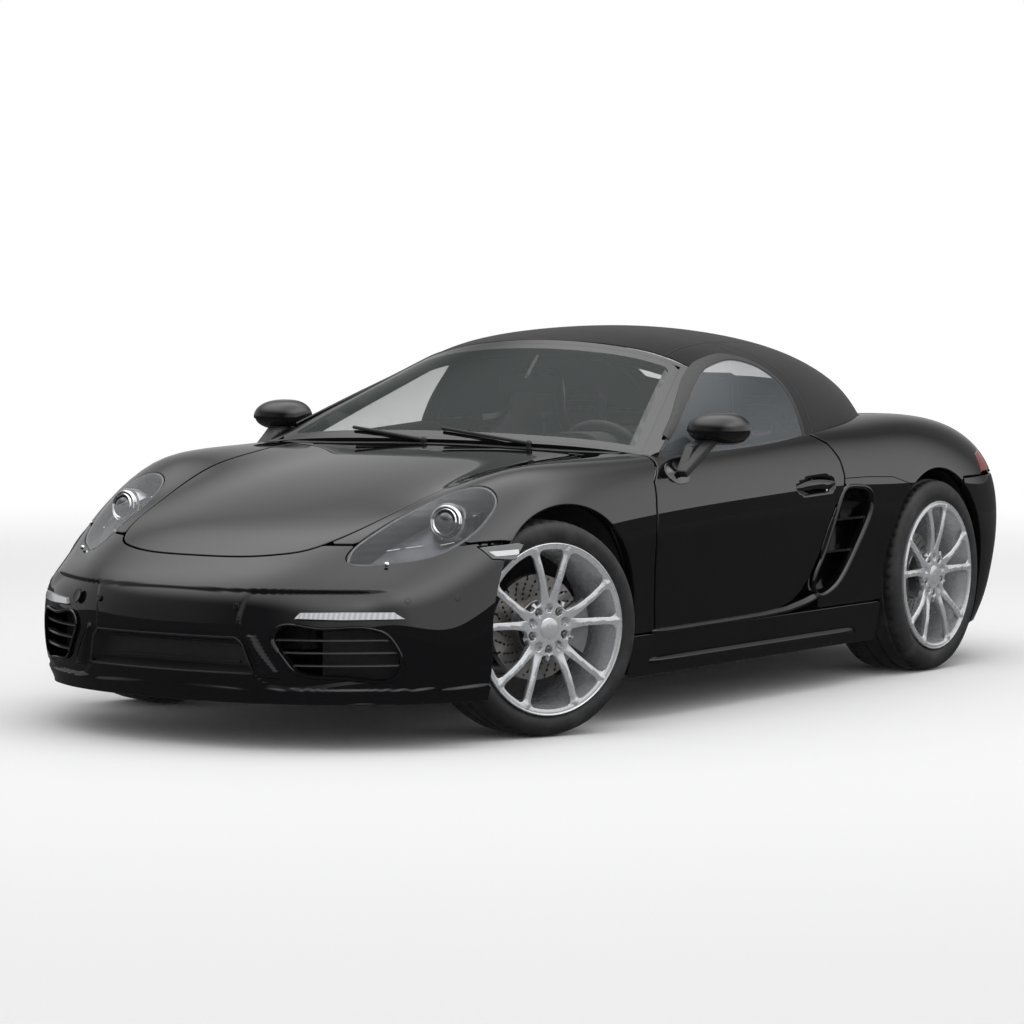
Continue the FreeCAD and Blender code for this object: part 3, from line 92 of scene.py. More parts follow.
# A finish is a few nodes. One small class wraps a socket so that an expression on it adds the
# maths nodes; every other node comes from the one method `node`.
class Wire:
    """A socket that sums, products and comparisons can be written on."""

    def __init__(self, tree, socket):
        self.tree = tree
        self.socket = socket

    def _maths(self, operation, other, swapped=False, third=None):
        values = [other, self] if swapped else [self, other]
        if third is not None:
            values.append(third)
        return node(self.tree, "ShaderNodeMath", {"operation": operation}, dict(enumerate(values)))

    def __add__(self, other):
        return self._maths("ADD", other)

    def __radd__(self, other):
        return self._maths("ADD", other, True)

    def __sub__(self, other):
        return self._maths("SUBTRACT", other)

    def __rsub__(self, other):
        return self._maths("SUBTRACT", other, True)

    def __mul__(self, other):
        return self._maths("MULTIPLY", other)

    def __rmul__(self, other):
        return self._maths("MULTIPLY", other, True)

    def __truediv__(self, other):
        return self._maths("DIVIDE", other)

    def __pow__(self, other):
        return self._maths("POWER", other)

    def __gt__(self, other):
        return self._maths("GREATER_THAN", other)

    def __lt__(self, other):
        return self._maths("LESS_THAN", other)

    def low(self, other):
        return self._maths("MINIMUM", other)

    def high(self, other):
        return self._maths("MAXIMUM", other)

    def sine(self):
        return node(self.tree, "ShaderNodeMath", {"operation": "SINE"}, {0: self})

    def size(self):
        return node(self.tree, "ShaderNodeMath", {"operation": "ABSOLUTE"}, {0: self})

    def rise(self, low, high):
        """Smooth step from 0 at low to 1 at high."""
        return node(self.tree, "ShaderNodeMapRange", {"interpolation_type": "SMOOTHSTEP"},
                    {"Value": self, "From Min": low, "From Max": high})


def node(tree, kind, settings, inputs, output=0):
    """A node of that kind: its settings first, then the values or wires of its sockets."""
    made = tree.nodes.new(kind)
    for key, value in settings.items():
        if key == "stops":
            ramp = made.color_ramp.elements
            while len(ramp) < len(value):
                ramp.new(0.5)
            for stop, (place, colour) in zip(ramp, value):
                stop.position = place
                stop.color = (*colour, 1.0)
        else:
            setattr(made, key, value)
    for key, value in inputs.items():
        if isinstance(value, Wire):
            tree.links.new(value.socket, made.inputs[key])
        elif value is not None:
            made.inputs[key].default_value = value
    return Wire(tree, made.outputs[output])


def finish(name, build, **constant):
    """A material: constant sockets of its shader by name, the varying ones from build(tree)."""
    made = bpy.data.materials.new(name)
    made.use_nodes = True
    tree = made.node_tree
    shader = tree.nodes["Principled BSDF"]
    for key, value in constant.items():
        key = key.replace("_", " ")
        shader.inputs[key].default_value = (*value, 1.0) if isinstance(value, tuple) else value
    for key, wire in (build(tree) if build else {}).items():
        tree.links.new(wire.socket, shader.inputs[key])
    return made


def place_of(tree):
    return node(tree, "ShaderNodeTexCoord", {}, {}, "Object")


def grain(tree, scale, detail=2.0, stretch=None):
    """Noise on the piece's own place, from about 0.3 to 0.7."""
    where = place_of(tree)
    if stretch is not None:
        where = node(tree, "ShaderNodeVectorMath", {"operation": "MULTIPLY"}, {0: where, 1: stretch})
    return node(tree, "ShaderNodeTexNoise", {}, {"Vector": where, "Scale": scale, "Detail": detail})


def mixed(tree, factor, first, second):
    """Colour between two colours by a wire from 0 to 1."""
    inputs = {"Factor": factor, 6: first if isinstance(first, Wire) else (*first, 1.0),
              7: second if isinstance(second, Wire) else (*second, 1.0)}
    return node(tree, "ShaderNodeMix", {"data_type": "RGBA"}, inputs, 2)


def bumped(tree, height, strength, distance):
    return node(tree, "ShaderNodeBump", {}, {"Height": height, "Strength": strength, "Distance": distance})


# ---- studio: a white dome, a pale floor, and a black cloth that only the paint mirrors ----
# A black car is photographed with black cloth laid round it, so that its sides stay dark and
# only what faces up shows the sky. The cloth is out of the picture and casts no shade.
world = bpy.data.worlds.new("white_dome")
bpy.context.scene.world = world
world.use_nodes = True
sky = world.node_tree
SKY_ON_OBJECT = 0.80
seen = node(sky, "ShaderNodeLightPath", {}, {}, "Is Camera Ray")
in_gloss = node(sky, "ShaderNodeLightPath", {}, {}, "Is Glossy Ray")
in_glass = node(sky, "ShaderNodeLightPath", {}, {}, "Is Transmission Ray")
toward = node(sky, "ShaderNodeTexCoord", {}, {}, "Generated")
sideways = node(sky, "ShaderNodeSeparateXYZ", {}, {"Vector": toward}, 1)
ahead = node(sky, "ShaderNodeSeparateXYZ", {}, {"Vector": toward}, 0)
overhead = node(sky, "ShaderNodeSeparateXYZ", {}, {"Vector": toward}, 2)
# Glossy rays alone see the dome much brighter overhead and towards the car's left, a little brighter towards its right
# and dimmer ahead of it: painted reflections of softboxes that light nothing. Other rays that light the car see an even
# 0.8; camera and glass rays see plain white.
painted_softbox_reflections = 0.17 + (0.0 - sideways).rise(0.05, 0.65) * 0.33 + sideways.rise(0.05, 0.55) * 1.1
painted_softbox_reflections = painted_softbox_reflections + overhead.rise(0.48, 0.88) * 1.9
painted_softbox_reflections = painted_softbox_reflections * (1.0 - ahead.rise(0.2, 0.8) * 0.45)
plain_white = seen.high(in_glass)
level = plain_white + (1.0 - plain_white) * (in_gloss * painted_softbox_reflections + (1.0 - in_gloss) * SKY_ON_OBJECT)
sky.links.new(level.socket, sky.nodes["Background"].inputs["Strength"])
sky.nodes["Background"].inputs["Color"].default_value = (1.0, 1.0, 1.0, 1.0)


def sheet_of(name, corners, material):
    mesh = bpy.data.meshes.new(name)
    mesh.from_pydata(corners, [], [tuple(range(len(corners)))])
    mesh.materials.append(material)
    made = bpy.data.objects.new(name, mesh)
    bpy.context.scene.collection.objects.link(made)
    return made


FLOOR_HALF = 90.0
PLAIN_FROM = 5.0
PLAIN_TO = 11.0
floor_paint = bpy.data.materials.new("floor_pale")
floor_paint.use_nodes = True
ground = floor_paint.node_tree
away = node(ground, "ShaderNodeVectorMath", {"operation": "LENGTH"}, {0: place_of(ground)}, "Value")
lit = ground.nodes["Principled BSDF"]
lit.inputs["Base Color"].default_value = (0.93, 0.93, 0.93, 1.0)
lit.inputs["Roughness"].default_value = 0.9
plain = node(ground, "ShaderNodeEmission", {}, {"Strength": 1.0})
blend = ground.nodes.new("ShaderNodeMixShader")
ground.links.new(away.rise(PLAIN_FROM, PLAIN_TO).socket, blend.inputs[0])
ground.links.new(lit.outputs[0], blend.inputs[1])
ground.links.new(plain.socket, blend.inputs[2])
ground.links.new(blend.outputs[0], ground.nodes["Material Output"].inputs[0])
floor_piece = sheet_of("floor", [(-FLOOR_HALF, -FLOOR_HALF, 0), (FLOOR_HALF, -FLOOR_HALF, 0),
                                 (FLOOR_HALF, FLOOR_HALF, 0), (-FLOOR_HALF, FLOOR_HALF, 0)], floor_paint)
floor_piece.visible_glossy = False

CLOTH_RADIUS = 14.0
CLOTH_RIM = 1.3
turn = np.linspace(0.0, 2 * np.pi, 64, endpoint=False)
black_cloth = finish("black_cloth", None, Base_Color=(0.10, 0.10, 0.10), Roughness=1.0, Specular_IOR_Level=0.0)
ring = np.stack([np.cos(turn), np.sin(turn)], 1) * CLOTH_RADIUS
cloth_mesh = bpy.data.meshes.new("black_cloth")
cloth_points = np.concatenate([np.column_stack([ring, np.full(64, -0.01)]), np.column_stack([ring, np.full(64, CLOTH_RIM)])])
around = np.arange(64)
walls = np.stack([around, around + 64, (around + 1) % 64 + 64, (around + 1) % 64], 1)
cloth_mesh.from_pydata(cloth_points.tolist(), [], [tuple(range(64))] + walls.tolist())
cloth_mesh.materials.append(black_cloth)
cloth = bpy.data.objects.new("black_cloth", cloth_mesh)
bpy.context.scene.collection.objects.link(cloth)
for kind in ("camera", "diffuse", "transmission", "volume_scatter", "shadow"):
    setattr(cloth, "visible_" + kind, False)


def soft_lamp(name, at, toward, width, length, watts):
    data = bpy.data.lights.new(name, "AREA")
    data.shape = "RECTANGLE"
    data.size = width
    data.size_y = length
    data.energy = watts
    lamp = bpy.data.objects.new(name, data)
    bpy.context.scene.collection.objects.link(lamp)
    lamp.visible_glossy = False
    lamp.matrix_world = Matrix.Translation(Vector(at)) @ (
        (Vector(toward) - Vector(at)).to_track_quat("-Z", "Y").to_matrix().to_4x4())
    return lamp


soft_lamp("overhead", (0.5, 1.0, 6.0), (0.0, 0.0, 0.0), 7.0, 3.0, 120.0)


# ---- painted skin ----
# The body panels of the real car are pressed steel and aluminium, welded or bolted at flanges
# out of sight, rolled over at every edge and sprayed gloss black under a clear coat.
# All of them are cut from one pressed shape, so that highlights run across the gaps.
SILL = 0.140
BODY_RIBS = [
    [(-1650, 815, 140), (-1760, 785, 140), (-1860, 725, 140), (-1944, 640, 140), (-2006, 545, 140),
     (-2047, 450, 140), (-2078, 345, 140), (-2099, 232, 140), (-2109, 116, 140), (-2112, 0, 140)],
    [(-1600, 840, 140), (-1740, 832, 215), (-1880, 768, 260), (-1980, 675, 280), (-2057, 570, 290),
     (-2104, 465, 300), (-2135, 352, 300), (-2155, 236, 300), (-2165, 118, 300), (-2168, 0, 300)],
    [(-1550, 845, 140), (-1690, 858, 225), (-1850, 822, 380), (-1990, 725, 440), (-2083, 600, 470),
     (-2138, 482, 485), (-2172, 362, 492), (-2192, 242, 497), (-2204, 121, 498), (-2208, 0, 498)],
    [(-1480, 848, 140), (-1610, 866, 225), (-1770, 866, 400), (-1927, 800, 565), (-2036, 665, 645),
     (-2093, 525, 675), (-2126, 385, 692), (-2147, 255, 702), (-2158, 127, 706), (-2161, 0, 707)],
    [(-1400, 850, 140), (-1510, 868, 225), (-1640, 884, 400), (-1790, 868, 590), (-1905, 785, 718),
     (-1988, 635, 790), (-2041, 475, 815), (-2070, 315, 828), (-2080, 155, 835), (-2083, 0, 837)],
    [(-1300, 850, 140), (-1380, 868, 225), (-1480, 892, 400), (-1600, 898, 590), (-1700, 855, 755),
     (-1790, 722, 848), (-1850, 565, 868), (-1880, 380, 875), (-1892, 190, 880), (-1895, 0, 882)],
    [(-1190, 850, 140), (-1240, 868, 225), (-1290, 896, 400), (-1370, 908, 595), (-1440, 888, 775),
     (-1500, 778, 900), (-1550, 625, 915), (-1570, 420, 903), (-1580, 210, 903), (-1580, 0, 903)],
    [(-1040, 848, 140), (-1060, 866, 220), (-1080, 890, 400), (-1110, 908, 592), (-1150, 898, 782),
     (-1180, 805, 922), (-1210, 645, 938), (-1230, 440, 922), (-1240, 220, 922), (-1240, 0, 922)],
    [(-850, 846, 140), (-850, 862, 218), (-850, 880, 400), (-850, 898, 590), (-850, 890, 765),
     (-850, 815, 902), (-850, 660, 925), (-850, 450, 922), (-850, 225, 922), (-850, 0, 922)],
    [(-500, 845, 140), (-500, 860, 215), (-500, 868, 400), (-500, 886, 585), (-500, 886, 750),
     (-500, 824, 888), (-500, 720, 908), (-500, 480, 915), (-500, 240, 915), (-500, 0, 915)],
    [(-150, 844, 140), (-150, 860, 215), (-150, 864, 395), (-150, 888, 580), (-150, 888, 740),
     (-150, 828, 868), (-150, 745, 885), (-150, 490, 900), (-150, 245, 902), (-150, 0, 902)],
    [(200, 843, 140), (200, 859, 213), (200, 864, 395), (200, 888, 575), (200, 886, 730),
     (200, 832, 850), (200, 750, 866), (200, 490, 885), (200, 245, 890), (200, 0, 890)],
    [(520, 842, 140), (520, 858, 213), (520, 866, 395), (520, 886, 572), (520, 882, 722),
     (520, 830, 838), (520, 745, 853), (520, 490, 866), (520, 245, 872), (520, 0, 873)],
    [(780, 840, 140), (780, 857, 213), (780, 868, 398), (780, 884, 572), (780, 880, 716),
     (780, 818, 835), (780, 705, 850), (780, 480, 833), (780, 240, 846), (780, 0, 851)],
    [(1020, 838, 140), (1020, 857, 215), (1020, 871, 400), (1020, 884, 572), (1020, 878, 716),
     (1020, 795, 836), (1020, 655, 849), (1020, 468, 800), (1020, 235, 818), (1020, 0, 825)],
    [(1252, 836, 140), (1252, 858, 216), (1252, 873, 402), (1252, 884, 570), (1252, 872, 706),
     (1252, 770, 822), (1252, 625, 840), (1252, 460, 766), (1252, 232, 786), (1252, 0, 792)],
    [(1420, 834, 140), (1420, 857, 216), (1420, 868, 402), (1415, 872, 555), (1415, 846, 658),
     (1420, 745, 745), (1435, 602, 780), (1480, 455, 721), (1490, 228, 742), (1490, 0, 748)],
    [(1530, 830, 140), (1540, 850, 214), (1555, 852, 395), (1565, 840, 525), (1570, 790, 605),
     (1580, 705, 662), (1605, 588, 694), (1675, 440, 671), (1700, 225, 692), (1700, 0, 698)],
    [(1610, 808, 140), (1650, 822, 210), (1700, 808, 380), (1725, 770, 480), (1738, 715, 530),
     (1750, 645, 562), (1775, 545, 592), (1850, 420, 624), (1880, 220, 640), (1885, 0, 643)],
    [(1680, 778, 140), (1752, 790, 205), (1838, 750, 360), (1885, 698, 440), (1908, 640, 478),
     (1926, 570, 503), (1954, 480, 530), (1994, 385, 552), (2013, 200, 562), (2016, 0, 565)],
    [(1750, 742, 140), (1855, 724, 200), (1940, 660, 340), (2000, 593, 405), (2039, 530, 432),
     (2068, 460, 455), (2095, 386, 480), (2116, 300, 497), (2133, 160, 505), (2137, 0, 506)],
    [(1825, 694, 140), (1930, 658, 190), (2023, 578, 290), (2083, 498, 340), (2117, 424, 362),
     (2144, 352, 385), (2166, 281, 405), (2183, 200, 420), (2194, 100, 427), (2197, 0, 428)],
    [(1895, 640, 140), (1989, 588, 180), (2058, 500, 220), (2107, 425, 240), (2136, 358, 250),
     (2158, 290, 260), (2173, 220, 265), (2185, 150, 268), (2192, 75, 270), (2194, 0, 270)],
    [(1960, 600, 140), (2018, 520, 140), (2062, 440, 140), (2092, 365, 140), (2112, 300, 140),
     (2126, 235, 140), (2136, 175, 140), (2142, 115, 140), (2146, 57, 140), (2147, 0, 140)],
]
ROOF_RIBS = [
    [(640, 812, 775), (610, 800, 835), (400, 735, 925), (180, 650, 1020), (-20, 572, 1105),
     (-25, 440, 1165), (0, 220, 1196), (15, 0, 1203)],
    [(330, 826, 785), (300, 812, 845), (130, 768, 945), (-20, 690, 1050), (-120, 590, 1135),
     (-130, 440, 1196), (-130, 220, 1228), (-130, 0, 1236)],
    [(-30, 830, 795), (-50, 818, 855), (-150, 778, 960), (-230, 705, 1065), (-280, 600, 1150),
     (-300, 440, 1208), (-320, 220, 1242), (-320, 0, 1252)],
    [(-340, 822, 805), (-350, 808, 865), (-430, 775, 960), (-500, 705, 1060), (-560, 600, 1145),
     (-590, 440, 1205), (-600, 220, 1240), (-600, 0, 1252)],
    [(-610, 795, 812), (-620, 780, 872), (-680, 750, 950), (-740, 690, 1035), (-800, 595, 1115),
     (-840, 440, 1172), (-860, 220, 1205), (-860, 0, 1215)],
    [(-850, 752, 820), (-860, 740, 880), (-900, 715, 930), (-950, 660, 1000), (-1010, 575, 1060),
     (-1070, 430, 1100), (-1100, 215, 1125), (-1105, 0, 1130)],
    [(-1010, 700, 830), (-1020, 690, 885), (-1060, 665, 915), (-1110, 610, 960),
     (-1170, 530, 1000), (-1230, 400, 1020), (-1270, 200, 1035), (-1280, 0, 1038)],
    [(-1120, 648, 830), (-1130, 640, 885), (-1180, 605, 905), (-1230, 545, 920),
     (-1300, 460, 930), (-1360, 345, 935), (-1405, 175, 938), (-1415, 0, 940)],
    [(-1150, 636, 815), (-1160, 630, 870), (-1215, 590, 870), (-1270, 530, 870),
     (-1345, 450, 870), (-1405, 335, 870), (-1450, 170, 870), (-1462, 0, 870)],
]
SCREEN_RIBS = [
    [(598, 795, 838), (613, 640, 862), (622, 330, 873), (625, 0, 876)],
    [(398, 735, 927), (435, 575, 959), (460, 300, 973), (468, 0, 977)],
    [(178, 650, 1021), (215, 495, 1066), (250, 250, 1084), (256, 0, 1090)],
    [(-18, 572, 1106), (-10, 440, 1163), (14, 220, 1194), (28, 0, 1203)],
]


def basis(t, count):
    """Clamped uniform cubic weights and slopes, one row per parameter: each degree blends two
    neighbouring weights of the degree below in proportion to the distance from their knots."""
    knots = np.concatenate([[0.0] * 3, np.linspace(0.0, 1.0, count - 2), [1.0] * 3])
    t = np.clip(t, 0.0, 1.0 - 1e-9)[:, None]
    w = ((t >= knots[:-1]) & (t < knots[1:])).astype(float)
    for degree in (1, 2, 3):
        rise = knots[degree:-1] - knots[:-degree - 1]
        fall = knots[degree + 1:] - knots[1:-degree]
        up = np.where(rise > 0, 1.0 / np.where(rise > 0, rise, 1.0), 0.0)
        down = np.where(fall > 0, 1.0 / np.where(fall > 0, fall, 1.0), 0.0)
        lower = w
        w = (t - knots[:-degree - 1]) * up * lower[:, :-1] + (knots[degree + 1:] - t) * down * lower[:, 1:]
    slope = 3.0 * (up * lower[:, :-1] - down * lower[:, 1:])
    return w, slope


def unit(a):
    return a / np.maximum(np.linalg.norm(a, axis=-1, keepdims=True), 1e-12)


class Skin:
    """Cubic surface over a lattice of poles given for the left half and mirrored; relief(p) lifts
    a point along the normal."""

    def __init__(self, ribs, outward=1.0, relief=None):
        left = np.array(ribs, float) / 1000.0
        right = left[:, -2::-1] * (1.0, -1.0, 1.0)
        self.poles = np.concatenate([left, right], axis=1)
        self.outward = outward
        self.relief = relief

    def plain(self, u, v):
        """Points and unit normals with no relief."""
        wu, du = basis(u, self.poles.shape[0])
        wv, dv = basis(v, self.poles.shape[1])
        over_u = np.tensordot(wu, self.poles, 1)
        slope_u = np.tensordot(du, self.poles, 1)
        p = np.einsum("kb,kbc->kc", wv, over_u)
        pu = np.einsum("kb,kbc->kc", wv, slope_u)
        pv = np.einsum("kb,kbc->kc", dv, over_u)
        return p, unit(np.cross(pu, pv)) * -self.outward

    def point(self, u, v):
        p, n = self.plain(u, v)
        return p if self.relief is None else p + n * self.relief(p)[:, None]

    def tangents(self, u, v, step=2e-4):
        """Slopes along u and v by central difference, relief included."""
        pu = (self.point(u + step, v) - self.point(u - step, v)) / (2 * step)
        pv = (self.point(u, v + step) - self.point(u, v - step)) / (2 * step)
        return pu, pv

    def normal(self, u, v):
        pu, pv = self.tangents(u, v)
        return unit(np.cross(pu, pv)) * -self.outward

    def ticks(self, span, cell):
        """Parameters along u and v so that no step is longer than a cell."""
        out = []
        for axis in (0, 1):
            fine = np.linspace(span[2 * axis], span[2 * axis + 1], 400)
            longest = np.zeros(399)
            for other in np.linspace(span[2 - 2 * axis], span[3 - 2 * axis], 9):
                fixed = np.full(400, other)
                p, _ = self.plain(fine, fixed) if axis == 0 else self.plain(fixed, fine)
                longest = np.maximum(longest, np.linalg.norm(np.diff(p, axis=0), axis=1))
            run = np.concatenate([[0.0], np.cumsum(longest)])
            out.append(np.interp(np.linspace(0.0, run[-1], int(run[-1] / cell) + 2), run, fine))
        return out


def rounded(points, count=160):
    """Closed curve through the points: a periodic cubic spline over the chord length, whose
    second slopes come from one cyclic system, sampled evenly."""
    p = np.array(points, float)
    n = len(p)
    h = np.linalg.norm(np.roll(p, -1, 0) - p, axis=1)
    before = np.roll(h, 1)
    system = np.diag(2 * (h + before))
    for i in range(n):
        system[i, (i + 1) % n] += h[i]
        system[i, i - 1] += before[i]
    rise = (np.roll(p, -1, 0) - p) / h[:, None]
    m = np.linalg.solve(system, 6 * (rise - np.roll(rise, 1, 0)))
    t = np.linspace(0.0, h.sum(), count, endpoint=False)
    k = np.clip(np.searchsorted(np.cumsum(h), t, side="right"), 0, n - 1)
    a = (t - np.concatenate([[0.0], np.cumsum(h)])[k])[:, None]
    b = h[k][:, None] - a
    q = np.roll(p, -1, 0)[k]
    mq = np.roll(m, -1, 0)[k]
    hk = h[k][:, None]
    return (m[k] * b ** 3 + mq * a ** 3) / (6 * hk) + (p[k] / hk - m[k] * hk / 6) * b + (q / hk - mq * hk / 6) * a


def within(p, axes, outline):
    """Signed distance in the plane of two axes to a closed outline, positive inside."""
    ring = np.array(outline, float) / 1000.0
    a = ring
    b = np.roll(ring, -1, 0)
    q = p[:, axes]
    best = np.full(len(q), 1e9)
    inside = np.zeros(len(q), bool)
    for (ax, ay), (bx, by) in zip(a, b):
        ex = bx - ax
        ey = by - ay
        t = np.clip(((q[:, 0] - ax) * ex + (q[:, 1] - ay) * ey) / max(ex * ex + ey * ey, 1e-12), 0.0, 1.0)
        best = np.minimum(best, (q[:, 0] - ax - t * ex) ** 2 + (q[:, 1] - ay - t * ey) ** 2)
        if ay != by:
            crossing = ((ay > q[:, 1]) != (by > q[:, 1])) & (q[:, 0] < ex * (q[:, 1] - ay) / ey + ax)
            inside ^= crossing
    return np.where(inside, 1.0, -1.0) * np.sqrt(best)


def least(*fields):
    return np.minimum.reduce(fields)


def most(*fields):
    return np.maximum.reduce(fields)


def step_up(x, low, high):
    """Smooth rise from 0 to 1 between two values."""
    t = np.clip((x - low) / (high - low), 0.0, 1.0)
    return t * t * (3 - 2 * t)


def mesh_piece(name, points, faces, body, material, corner_normals=None, smooth=True):
    """A piece from points, and faces as rows of 3 or 4 numbers, riding on a body."""
    mesh = bpy.data.meshes.new(name)
    mesh.vertices.add(len(points))
    mesh.vertices.foreach_set("co", np.asarray(points, np.float32).ravel())
    rows = [np.asarray(f, np.int32) for f in faces if len(f)]
    sizes = np.concatenate([np.full(len(r), r.shape[1], np.int32) for r in rows])
    corners = np.concatenate([r.ravel() for r in rows])
    mesh.loops.add(len(corners))
    mesh.loops.foreach_set("vertex_index", corners)
    mesh.polygons.add(len(sizes))
    mesh.polygons.foreach_set("loop_start", np.concatenate([[0], np.cumsum(sizes)[:-1]]).astype(np.int32))
    mesh.update(calc_edges=True)
    mesh.polygons.foreach_set("use_smooth", np.full(len(sizes), smooth))
    if corner_normals is not None:
        mesh.normals_split_custom_set(np.concatenate(corner_normals).tolist())
    if material is not None:
        mesh.materials.append(material)
    piece = bpy.data.objects.new(name, mesh)
    bpy.context.scene.collection.objects.link(piece)
    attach(piece, body)
    return piece


def told(piece, first, second=None):
    """A UV map that holds two fields of the piece's points, so that its finish can draw by them."""
    mesh = piece.data
    p = np.empty(len(mesh.vertices) * 3)
    mesh.vertices.foreach_get("co", p)
    p = p.reshape(-1, 3)
    held = np.stack([first(p), second(p) if second else np.zeros(len(p))], 1)
    corner = np.empty(len(mesh.loops), np.int32)
    mesh.loops.foreach_get("vertex_index", corner)
    mesh.uv_layers.new(name="fields").data.foreach_set("uv", held[corner].ravel())
    return piece


def field_of(tree, which):
    """The first or second field that was told to the piece."""
    both_fields = node(tree, "ShaderNodeUVMap", {"uv_map": "fields"}, {})
    return node(tree, "ShaderNodeSeparateXYZ", {}, {"Vector": both_fields}, which)


ROLL = [(0.0, 0.0), (0.38, 0.08), (0.71, 0.29), (0.92, 0.62), (1.0, 1.0)]


AS_DRAWN = (np.eye(3), np.zeros(3))
MIRRORED = (np.diag([1.0, -1.0, 1.0]), np.zeros(3))


def set_in(place, points, faces, normals):
    """Points, faces and corner normals carried by a turn or mirror and a shift; a mirror turns
    the faces round."""
    matrix, shift = place
    if np.linalg.det(matrix) < 0:
        normals = [a.reshape(len(f), -1, 3)[:, ::-1].reshape(-1, 3) for a, f in zip(normals, faces)]
        faces = [f[:, ::-1] for f in faces]
    return points @ matrix.T + shift, faces, [a @ matrix.T for a in normals]


